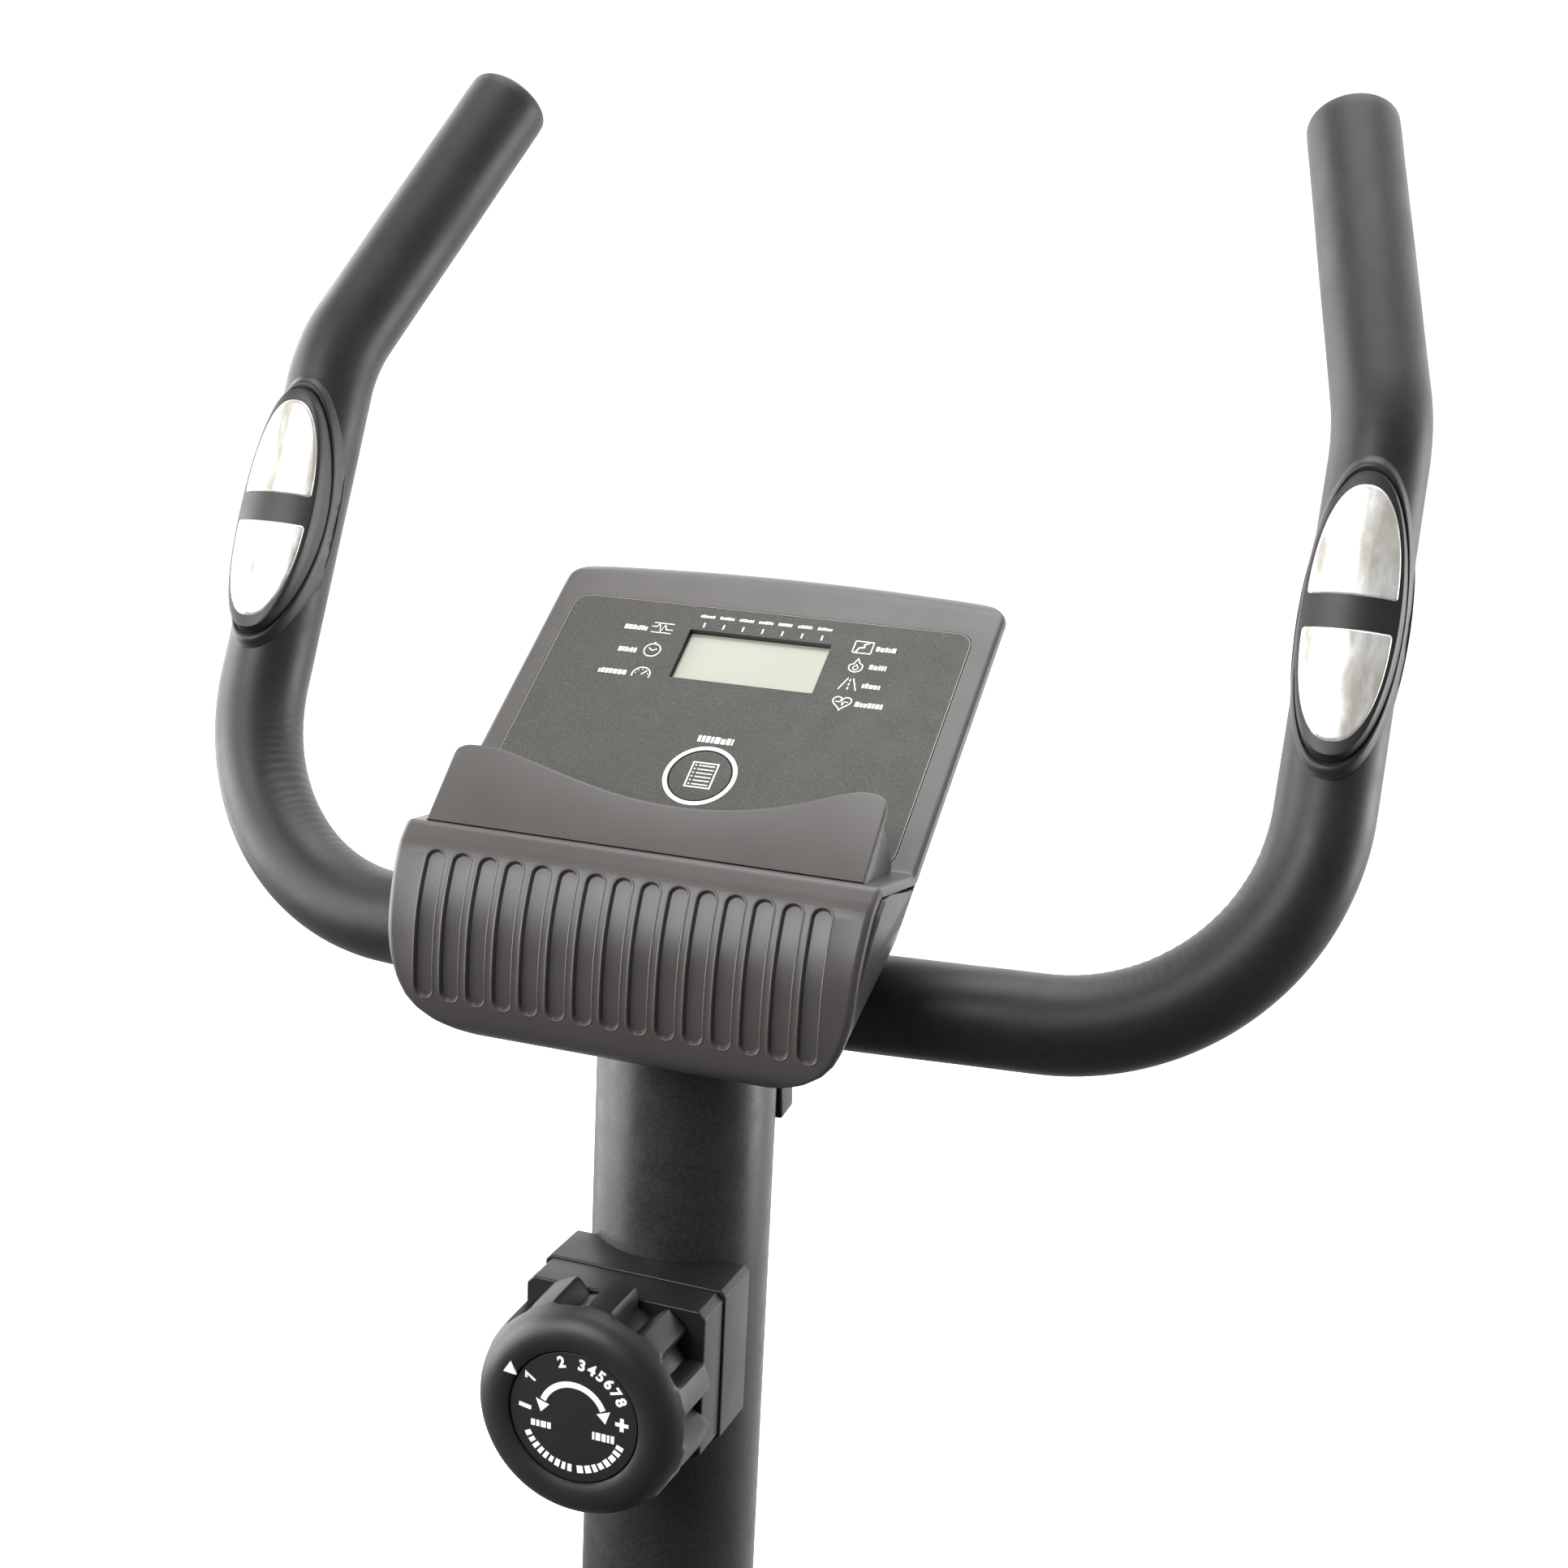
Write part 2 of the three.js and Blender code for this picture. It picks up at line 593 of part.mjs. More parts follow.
function buildIdler(bike) {
  const roller = turned(ring(4 + GAP, IDLER_RADIUS, 0, 13), [36.5, ...IDLER], [1, 0, 0], 20);
  add(bike, 'idler_roller', roller, nylon);
}

// ---- cover -----------------------------------------------------------------------------
function coverSolid(inset, x0, x1, bevel, steps) {
  const line = beltLine(
    [CRANK_Y, CRANK_Z],
    COVER_REAR_RADIUS - inset,
    [FLYWHEEL_Y, FLYWHEEL_Z],
    COVER_FRONT_RADIUS - inset,
    18,
    16,
  );
  return prismX(line, x0, x1, bevel, steps);
}

function buildCovers(bike) {
  const whole = coverSolid(0, -COVER_HALF_WIDTH, COVER_HALF_WIDTH, COVER_EDGE, 2);
  const hollow = coverSolid(COVER_WALL, COVER_WALL - COVER_HALF_WIDTH, COVER_HALF_WIDTH - COVER_WALL, COVER_EDGE, 1);
  const shell = cut(
    whole,
    hollow,
    rod(onPost(-960), onPost(UPRIGHT_TOP + 40), UPRIGHT_RADIUS + 1, 28),
    seatTubeBody(SEAT_TUBE_RADIUS + 1),
    rod([-80, CRANK_Y, CRANK_Z], [80, CRANK_Y, CRANK_Z], 24, 28),
  );
  for (const [name, side] of SIDES) {
    const half = block([90, 700, 500], [side * (45 + GAP / 2), 100, 310]);
    add(bike, `side_cover_${name}`, shell.intersect(half), coverPlastic);
  }
  const collar = turned(ring(UPRIGHT_RADIUS + GAP, 41, 0, 9), onPost(-575), vec(onPost(1)).sub(vec(onPost(0))).toArray(), 28);
  add(bike, 'post_collar', collar, trimPlastic);
}

// ---- seat ------------------------------------------------------------------------------
// Everything here is drawn with Z along the seat tube, from the tube's foot.
function buildSeat(bike) {
  const seat = new THREE.Group();
  seat.position.set(...SEAT_FOOT);
  seat.rotation.x = SEAT_LEAN * DEG;
  bike.add(seat);

  const bush = turned(
    [[19.3, 330], [SEAT_TUBE_BORE - GAP, 330], [SEAT_TUBE_BORE - GAP, SEAT_TUBE_LENGTH + GAP],
      [28, SEAT_TUBE_LENGTH + GAP], [28, SEAT_TUBE_LENGTH + 12], [23, SEAT_TUBE_LENGTH + 16],
      [19.3, SEAT_TUBE_LENGTH + 16], [19.3, 330]],
    [0, 0, 0],
    [0, 0, 1],
    20,
  );
  const pinHole = rod([0, 0, SEAT_PIN_ALONG], [0, -40, SEAT_PIN_ALONG], 5.2, 14);
  add(seat, 'seat_bush', cut(bush, pinHole), trimPlastic);

  const post = pipe([0, 0, SEAT_POST_SPAN[0]], [0, 0, SEAT_POST_SPAN[1]], SEAT_POST_RADIUS, 17, 20);
  const holes = [-4, -3, -2, -1, 0, 1, 2].map((step) => {
    const z = SEAT_PIN_ALONG + step * SEAT_HOLE_PITCH;
    return rod([0, 0, z], [0, -40, z], 5.2, 8);
  });
  add(seat, 'seat_post', cut(post, ...holes), steel);

  // The pin is drawn with its tip just clear of the post, so that the post can slide.
  const pin = turned(
    [[0, 0], [4.6, 1], [4.6, 18.2], [9, 18.2], [9, 22], [15, 26], [16, 42], [12, 48], [0, 48]],
    [0, -SEAT_POST_RADIUS - 0.4, SEAT_PIN_ALONG],
    [0, -1, 0],
    20,
  );
  add(seat, 'seat_pull_pin', pin, trimPlastic);
  buildSaddle(seat);
}

function saddleOutline(inset) {
  const rear = SADDLE_LENGTH * 0.36;
  const halfWidth = SADDLE_WIDTH / 2 - inset;
  const nose = 33 - inset;
  const front = SADDLE_LENGTH - rear;
  const shape = new THREE.Shape();
  shape.moveTo(0, -rear + inset);
  shape.bezierCurveTo(halfWidth * 0.75, -rear + inset, halfWidth, -rear * 0.6, halfWidth, -rear * 0.1);
  shape.bezierCurveTo(halfWidth, rear * 0.55, nose + 12, rear * 0.45, nose + 3, rear * 1.15);
  shape.bezierCurveTo(nose, front - inset - 22, nose * 0.8, front - inset, 0, front - inset);
  const right = shape.getPoints(7).map((p) => [p.x, p.y]);
  const left = right.slice(1, -1).reverse().map(([x, y]) => [-x, y]);
  return [...right, ...left];
}

function buildSaddle(seat) {
  const saddle = new THREE.Group();
  saddle.position.set(0, 0, SEAT_POST_SPAN[1]);
  saddle.rotation.x = -SEAT_LEAN * DEG;
  seat.add(saddle);
  const cushion = new THREE.ExtrudeGeometry(outline(saddleOutline(0)), {
    depth: 24,
    bevelThickness: 22,
    bevelSize: 20,
    bevelOffset: -20,
    bevelSegments: 3,
  });
  cushion.translate(0, 0, 44);
  const pad = cut(toSolid(cushion), prismZ(saddleOutline(-5), 0, 34));
  add(saddle, 'saddle', pad, vinyl);
  add(saddle, 'saddle_pan', prismZ(saddleOutline(12), 28, 34 - GAP), trimPlastic);

  const socket = rod([0, 0, -40], [0, 0, 10], 23.5, 28);
  const plate = block([74, 96, 5], [0, 0, 8]);
  const ears = [-1, 1].map((side) => block([5, 60, 24], [side * 30, 0, 15.7]));
  const tilt = SEAT_LEAN * DEG;
  const down = [0, Math.sin(tilt) * 60, -Math.cos(tilt) * 60];
  const bore = rod(down, [0, -Math.sin(tilt) * GAP, Math.cos(tilt) * GAP], SEAT_POST_RADIUS + GAP, 28);
  const clamp = cut(joined(socket, plate, ...ears), bore);
  add(saddle, 'saddle_clamp', clamp, paint);
}

// ---- head ------------------------------------------------------------------------------
function barCorners(side) {
  const right = [BAR_CENTRE_CORNER, BAR_LOWER_CORNER, BAR_UPPER_CORNER, BAR_TIP];
  return right.map(([x, y, z]) => [side * x, y, z]);
}

function alongBar(from, to, distance) {
  const a = vec(from);
  return a.addScaledVector(vec(to).sub(a).normalize(), distance).toArray();
}

function buildPost(head) {
  const post = new THREE.Group();
  post.rotation.x = -POST_LEAN * DEG;
  head.add(post);
  buildKnob(post);
  buildCable(post);
}

// The post, with the cradle that the handlebar lies in welded to its top.
function buildPostTube(head) {
  const [, y, z] = BAR_CENTRE;
  const barBore = rod([-60, y, z], [60, y, z], BAR_TUBE_RADIUS + GAP, 24);
  const tube = pipe(onHeadPost(POST_BOTTOM), onHeadPost(POST_TOP), POST_RADIUS, POST_RADIUS - POST_WALL, 28);
  const plug = rod(onHeadPost(POST_TOP - 10), onHeadPost(POST_TOP), POST_RADIUS - 1, 28);
  const cradle = block([48, 40, 15], [0, y, z - 8.5]);
  const cableHole = rod(onHeadPost(KNOB_DROP, -40), onHeadPost(KNOB_DROP), 7, 14);
  add(head, 'handlebar_post', cut(joined(tube, plug, cradle), barBore, cableHole), paint);
  const upper = block([48, 40, 17], [0, y, z + 8.5 + GAP]);
  add(head, 'bar_clamp', cut(upper, barBore), paint);
}

function buildHandlebar(head) {
  const right = barCorners(1);
  const left = barCorners(-1);
  const shortTip = (corners) => alongBar(corners[3], corners[2], GRIP_END_WALL + GAP);
  const line = [shortTip(left), left[2], left[1], left[0], right[0], right[1], right[2], shortTip(right)];
  const half = [BAR_UPPER_BEND, BAR_LOWER_BEND, BAR_CENTRE_BEND];
  const bends = [...half, ...[...half].reverse()];
  const bore = BAR_TUBE_RADIUS - BAR_TUBE_WALL;
  add(head, 'handlebar_tube', bentTube(new BentPath(line, bends), BAR_TUBE_RADIUS, BAR_SIDES, bore), paint);
  for (const [name, side] of SIDES) buildGrip(head, name, side);
}

function buildGrip(head, name, side) {
  const corners = barCorners(side);
  const start = alongBar(corners[0], corners[1], GRIP_START - corners[0][0] * side);
  const bends = [BAR_LOWER_BEND, BAR_UPPER_BEND];
  const outer = new BentPath([start, corners[1], corners[2], corners[3]], bends);
  const boreStart = alongBar(corners[0], corners[1], GRIP_START - 1 - corners[0][0] * side);
  const boreEnd = alongBar(corners[3], corners[2], GRIP_END_WALL);
  const inner = new BentPath([boreStart, corners[1], corners[2], boreEnd], bends);
  const boreRadius = (BAR_TUBE_RADIUS + GAP) / Math.cos(Math.PI / BAR_SIDES);
  const sleeve = cut(bentTube(outer, GRIP_RADIUS, 16), bentTube(inner, boreRadius, BAR_SIDES));
  add(head, `grip_${name}`, sleeve, foam);
  buildPod(head, name, side);
}

// A pod is drawn with Y along the arm and Z facing the rider.
function buildPod(head, name, side) {
  const corners = barCorners(side);
  const along = vec(corners[2]).sub(vec(corners[1])).normalize();
  const pod = new THREE.Group();
  pod.position.set(...alongBar(corners[1], corners[2], POD_ALONG));
  pod.rotation.x = Math.atan2(along.z, along.y);
  head.add(pod);
  const shell = (inner, outer) => pipe([0, -70, 0], [0, 70, 0], outer, inner, 36);
  const oval = (halfWidth, halfLength) => Array.from({ length: 28 }, (_, i) => {
    const a = (i / 28) * 2 * Math.PI;
    const c = Math.cos(a);
    return [halfWidth * Math.sign(c) * Math.abs(c) ** 0.85, halfLength * Math.sin(a)];
  });
  const crown = GRIP_RADIUS + GAP + POD_SKIN;
  const bezel = shell(GRIP_RADIUS + GAP, crown).intersect(prismZ(oval(POD_HALF_WIDTH, POD_HALF_LENGTH), 2, 40));
  add(pod, `pulse_pod_${name}`, bezel, trimPlastic);
  const plate = shell(crown + GAP, crown + 1.3).intersect(prismZ(oval(PLATE_HALF_WIDTH, PLATE_FAR), 2, 40));
  for (const [place, end] of [['lower', -1], ['upper', 1]]) {
    const half = block([60, 60, 60], [0, end * (PLATE_NEAR + 30), 30]);
    add(pod, `pulse_plate_${name}_${place}`, plate.intersect(half), steel);
  }
}

// ---- tension knob ----------------------------------------------------------------------
// Drawn with Z out of the knob's face and Y up the post, from the middle of the label.
function buildKnob(post) {
  const knob = new THREE.Group();
  knob.position.set(0, -KNOB_REACH, KNOB_DROP);
  knob.rotation.x = 90 * DEG;
  post.add(knob);
  const toPost = KNOB_REACH - POST_RADIUS;

  const scallop = Array.from({ length: KNOB_LOBES * 3 }, (_, i) => {
    const a = (i / (KNOB_LOBES * 3)) * 2 * Math.PI;
    const r = KNOB_RADIUS - 1.4 - (i % 3 === 2 ? 3 : 0);
    return [r * Math.cos(a), r * Math.sin(a)];
  });
  const skirt = prismZ(scallop, -KNOB_DEPTH, -12);
  const rim = turned(
    [[0, -12], [KNOB_RADIUS, -12], [KNOB_RADIUS, -6], [KNOB_RADIUS - 4, -1.5], [30, 0], [0, 0]],
    [0, 0, 0],
    [0, 0, 1],
    33,
  );
  const pocket = rod([0, 0, -4.4], [0, 0, 5], KNOB_LABEL_RADIUS + 0.4, 28);
  const below = rod([0, 0, -KNOB_DEPTH - 1], [0, 0, -8], 27, 20);
  const stemHole = rod([0, 0, -12], [0, 0, 0], 7.4, 18);
  add(knob, 'tension_knob', cut(joined(skirt, rim), pocket, below, stemHole), trimPlastic);

  const label = joined(
    rod([0, 0, -4], [0, 0, -0.2], KNOB_LABEL_RADIUS, 28),
    rod([0, 0, -KNOB_DEPTH - GAP], [0, 0, -3], 7, 18),
  );
  add(knob, 'knob_label', label, trimPlastic);

  const face = roundedBox(HOUSING_HALF_WIDTH, -22, 32, 8, 2);
  const postRoom = rod([0, -120, -KNOB_REACH], [0, 120, -KNOB_REACH], POST_RADIUS + GAP, 36);
  const inside = block([44, 34, 18], [0, 5, -toPost + 2]);
  const housing = cut(prismZ(face, -KNOB_REACH + 20, -KNOB_DEPTH - 2 * GAP), postRoom, inside);
  add(knob, 'knob_housing', housing, trimPlastic);
}

function buildCable(post) {
  const path = new BentPath(
    [[0, -40, KNOB_DROP], [0, 0, KNOB_DROP], [0, 0, CABLE_EXIT], [0, 46, CABLE_EXIT]],
    [14, 12],
  );
  add(post, 'tension_cable', bentTube(path, 2, 6), rubber);
}

// ---- console ---------------------------------------------------------------------------
// A point of the console's face frame, as [y, z] from the head point.
const tiltCos = Math.cos(CONSOLE_TILT * DEG);
const tiltSin = Math.sin(CONSOLE_TILT * DEG);
const onFace = (v, w) => [
  CONSOLE_ORIGIN[1] + v * tiltCos - w * tiltSin,
  CONSOLE_ORIGIN[2] + v * tiltSin + w * tiltCos,
];

// The side view of the front case: rolled top, face, shelf, then the apron over the clamp.
const frontLine = [
  onFace(86, -12), onFace(90, -8), onFace(91, -4), onFace(88, -0.8), onFace(84, 0),
  onFace(-27, 0), onFace(-30, 1.5), onFace(-46, 17.6), [-38.4, 80],
  [-42, 78.4], [-46, 74.5], [-52, 66], [-56.5, 56], [-59, 46], [-60.5, 36], [-60, 28], [-54.8, 18],
];

// A strip of even thickness behind a side view line.
function strip(line, thickness) {
  const behind = line.map(([y, z], i) => {
    const [ay, az] = line[Math.max(0, i - 1)];
    const [by, bz] = line[Math.min(line.length - 1, i + 1)];
    const length = Math.hypot(by - ay, bz - az);
    return [y - (thickness * (bz - az)) / length, z + (thickness * (by - ay)) / length];
  });
  return [...line, ...behind.reverse()];
}

function buildConsole(head) {
  const face = new THREE.Group();
  face.position.set(...CONSOLE_ORIGIN);
  face.rotation.x = CONSOLE_TILT * DEG;
  head.add(face);
  buildFrontCase(head);
  buildRearCase(head);
  buildFacePieces(face);
}

// Turns a solid drawn in the face frame into the head frame.
function fromFace(geometry) {
  geometry.rotateX(CONSOLE_TILT * DEG);
  geometry.translate(...CONSOLE_ORIGIN);
  return toSolid(geometry);
}
function facePrism(points, w0, w1) {
  const geometry = new THREE.ExtrudeGeometry(outline(points), { depth: w1 - w0, bevelEnabled: false });
  geometry.translate(0, 0, w0);
  return fromFace(geometry);
}

function buildFrontCase(head) {
  const body = prismX(strip(frontLine, CASE_WALL), -CASE_HALF_WIDTH, CASE_HALF_WIDTH);
  const topCorners = facePrism(roundedBox(CASE_HALF_WIDTH, -200, 92, 9, 3), -120, 120);
  const frontView = roundedBox(CASE_HALF_WIDTH - 1.5, 16, 200, 20, 4);
  const apronView = new THREE.ExtrudeGeometry(outline(frontView), { depth: 300, bevelEnabled: false });
  apronView.rotateX(90 * DEG);
  apronView.translate(0, 200, 0);
  const recess = facePrism(roundedBox(OVERLAY_HALF_WIDTH + GAP, OVERLAY_BOTTOM, OVERLAY_TOP + GAP, 6.5), -0.9, 5);
  const lcdHole = facePrism(lcdOutline(GAP), -10, 5);
  const buttonHole = facePrism(circle(BUTTON_RADIUS + GAP, 28), -10, 5);
  const shaped = body.intersect(topCorners).intersect(toSolid(apronView));
  add(head, 'console_front', cut(shaped, recess, lcdHole, buttonHole), casePlastic);
}

const lcdOutline = (margin) => [
  [-LCD_WIDTH / 2 - margin, LCD_CENTRE_V - LCD_HEIGHT / 2 - margin],
  [LCD_WIDTH / 2 + margin, LCD_CENTRE_V - LCD_HEIGHT / 2 - margin],
  [LCD_WIDTH / 2 + margin, LCD_CENTRE_V + LCD_HEIGHT / 2 + margin],
  [-LCD_WIDTH / 2 - margin, LCD_CENTRE_V + LCD_HEIGHT / 2 + margin],
];

// The rear case: a shallow tray behind the face, with a cheek at each side that runs down
// to the apron.
function buildRearCase(head) {
  const back = -CASE_DEPTH;
  const front = -CASE_WALL - GAP;
  const tray = [onFace(84, front - 10), onFace(80, back), onFace(-34, back), onFace(-40, back + 8), onFace(-40, front)];
  const cheekFoot = [-56, 46];
  const outer = [onFace(84, front - 10), ...tray.slice(1), cheekFoot, [-52.6, 56], [-48.6, 65], [-43, 73],
    [-38.5, 76.2], onFace(-44, 11), onFace(-30, front + 1), onFace(84, front)];
  const width = (w, inset) => CASE_HALF_WIDTH - 0.4 - inset + (w < 0 ? (w * 9) / CASE_DEPTH : 0);
  const taper = (inset) => facePlan([
    [-width(back, inset), back - 1], [width(back, inset), back - 1], [width(0, inset), 0],
    [width(0, inset), 60], [-width(0, inset), 60], [-width(0, inset), 0],
  ]);
  const hollow = [onFace(90, front + 20), onFace(90, front), onFace(81, front - 4), onFace(77.5, back + CASE_WALL),
    onFace(-32, back + CASE_WALL), onFace(-37.4, back + 9), onFace(-37.4, front - 3), [-75, 35], [-75, 100]];
  const shell = cut(
    prismX(outer, -90, 90).intersect(taper(0)),
    prismX(hollow, -90, 90).intersect(taper(CASE_WALL)),
    prismX(strip(frontLine, CASE_WALL + GAP), -90, 90),
  );
  add(head, 'console_rear', shell, casePlastic);
}

// A plan in the face frame's u and w, swept the whole way up the face.
function facePlan(points) {
  const geometry = new THREE.ExtrudeGeometry(outline(points), { depth: 400, bevelEnabled: false });
  geometry.rotateX(90 * DEG);
  geometry.translate(0, 200, 0);
  return fromFace(geometry);
}

function buildFacePieces(face) {
  const sheet = prismZ(roundedBox(OVERLAY_HALF_WIDTH, OVERLAY_BOTTOM + GAP, OVERLAY_TOP, 6.2), -0.6, 0);
  const window = prismZ(lcdOutline(GAP), -5, 5);
  const buttonHole = rod([0, 0, -5], [0, 0, 5], BUTTON_RADIUS + GAP, 28);
  add(face, 'console_overlay', cut(sheet, window, buttonHole), labelPlastic);
  add(face, 'lcd_module', prismZ(lcdOutline(0), -7, -0.3), clear);
  add(face, 'mode_button', turned(
    [[0, -5.5], [BUTTON_RADIUS, -5.5], [BUTTON_RADIUS, -0.4], [BUTTON_RADIUS - 0.6, 0], [0, 0]],
    [0, 0, 0],
    [0, 0, 1],
    28,
  ), labelPlastic);
  add(face, 'circuit_board', prismZ(roundedBox(58, -22, 68, 3, 1), -12, -10.4), board);
  const door = prismZ(roundedBox(29, 26, 74, 3, 1), -CASE_DEPTH - 2.6, -CASE_DEPTH - GAP);
  add(face, 'battery_door', door, casePlastic);

  const lipSide = [[-46.4, 18.9], [-20, 24.2], [-19.4, 22.4], [-25.5, 18.6], [-26, 2.4], [-27.6, 0.7],
    [-31, 3.3], [-41, 13.3]];
  const geometry = new THREE.ExtrudeGeometry(outline(lipSide), { depth: 2 * LIP_HALF_WIDTH, bevelEnabled: false });
  geometry.translate(0, 0, -LIP_HALF_WIDTH);
  geometry.applyMatrix4(YZ_TO_XYZ);
  add(face, 'shelf_lip', toSolid(geometry), casePlastic);
}

// ---- assembly --------------------------------------------------------------------------
function buildBike() {
  const bike = new THREE.Group();
  buildFrame(bike);
  for (const [name, side] of SIDES) {
    buildFrontCap(bike, name, side);
    buildRearCap(bike, name, side);
  }
  buildCrank(bike);
  buildBelt(bike);
  buildFlywheel(bike);
  buildMagnetShoe(bike);
  buildIdler(bike);
  buildCovers(bike);
  buildSeat(bike);
  const head = new THREE.Group();
  head.position.set(0, HEAD_Y, HEAD_Z);
  bike.add(head);
  buildPost(head);
  buildPostTube(head);
  buildHandlebar(head);
  buildConsole(head);
  return bike;
}

export default buildBike();
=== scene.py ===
"""Looks of an upright magnetic exercise bike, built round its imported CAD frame.

Shapes are written in millimetres in a local frame (head, face, post, knob, seat) and placed
by that frame's matrix, which also turns them into metres.
"""
import json
import math
import random

import bmesh
import bpy
from mathutils import Matrix, Vector, noise


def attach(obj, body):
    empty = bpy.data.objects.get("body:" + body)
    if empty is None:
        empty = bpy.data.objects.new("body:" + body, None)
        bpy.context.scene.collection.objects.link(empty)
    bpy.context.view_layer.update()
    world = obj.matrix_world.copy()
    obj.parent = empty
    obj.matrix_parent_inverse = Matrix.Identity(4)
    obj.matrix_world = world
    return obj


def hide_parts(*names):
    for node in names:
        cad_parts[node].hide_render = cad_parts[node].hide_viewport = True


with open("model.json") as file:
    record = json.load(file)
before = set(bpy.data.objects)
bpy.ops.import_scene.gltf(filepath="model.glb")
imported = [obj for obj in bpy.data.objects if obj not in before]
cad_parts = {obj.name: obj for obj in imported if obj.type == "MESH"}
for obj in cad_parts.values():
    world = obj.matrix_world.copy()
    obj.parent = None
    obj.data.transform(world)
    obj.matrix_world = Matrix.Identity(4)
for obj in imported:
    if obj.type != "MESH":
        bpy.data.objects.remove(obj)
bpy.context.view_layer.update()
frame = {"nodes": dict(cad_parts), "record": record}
scene = bpy.context.scene
TAU = 2 * math.pi


# ---- local frames ----------------------------------------------------------------------
def placed(parent, origin, turn_x=0.0):
    return parent @ Matrix.Translation(origin) @ Matrix.Rotation(math.radians(turn_x), 4, "X")


HEAD_Y, HEAD_Z = 238, 1030
FACE_Y, FACE_Z, FACE_TILT = 12.7, 86.5, 29.6
SEAT_Y, SEAT_Z, SEAT_TOP = -90, 112, 640
POST_LEAN, SEAT_LEAN = 7.7, 17
WELD_Z = 111

BIKE = Matrix.Scale(0.001, 4)
HEAD = placed(BIKE, (0, HEAD_Y, HEAD_Z))
POST = placed(HEAD, (0, 0, 0), -POST_LEAN)
FACE = placed(HEAD, (0, FACE_Y, FACE_Z), FACE_TILT)
KNOB = placed(POST, (0, -82.8, -97.9), 90)
SEAT = placed(BIKE, (0, SEAT_Y, SEAT_Z), SEAT_LEAN)
SADDLE = placed(SEAT, (0, 0, SEAT_TOP), -SEAT_LEAN)

# The same frames seen from each other, all in millimetres.
HERE = Matrix.Identity(4)
POST_IN_HEAD = placed(HERE, (0, 0, 0), -POST_LEAN)
FACE_IN_HEAD = placed(HERE, (0, FACE_Y, FACE_Z), FACE_TILT)
POST_IN_BIKE = placed(HERE, (0, HEAD_Y, HEAD_Z), -POST_LEAN)
SEAT_IN_BIKE = placed(HERE, (0, SEAT_Y, SEAT_Z), SEAT_LEAN)

POST_FOOT = Vector((0, HEAD_Y - (HEAD_Z - WELD_Z) * math.tan(math.radians(POST_LEAN)), WELD_Z))
SEAT_FOOT = Vector((0, SEAT_Y + (SEAT_Z - WELD_Z) * math.tan(math.radians(SEAT_LEAN)), WELD_Z))
PIN_HEIGHT, HOLE_STEP = 425, 30
PEDAL_X = 146
CRANK = (-100, 300)
CRANK_LENGTH = 165
CRANK_ANGLE = -35
FLYWHEEL = (302, 312)
SIDES = (("left", -1), ("right", 1))

# Handlebar corners, right half, in the head frame.
BAR_MIDDLE = (45, 0.9, 20.8)
BAR_LOWER = (191.6, 18.9, 18.6)
BAR_UPPER = (192.3, 123.4, 191.2)
BAR_TIP = (163, 218, 278.1)
BAR_BENDS = (80, 70)
GRIP_RADIUS = 15.9
GRIP_START = 52


# ---- materials -------------------------------------------------------------------------
def linear(hex_color):
    channels = [int(hex_color[i:i + 2], 16) / 255 for i in (0, 2, 4)]
    return [c / 12.92 if c <= 0.04045 else ((c + 0.055) / 1.055) ** 2.4 for c in channels] + [1]


def fill_ramp(node, stops):
    """Sets a colour ramp. A stop's value is a grey level or a hex colour."""
    elements = node.color_ramp.elements
    while len(elements) < len(stops):
        elements.new(0.5)
    for element, (at, color) in zip(elements, stops):
        element.position = at
        element.color = linear(color) if isinstance(color, str) else (color, color, color, 1)


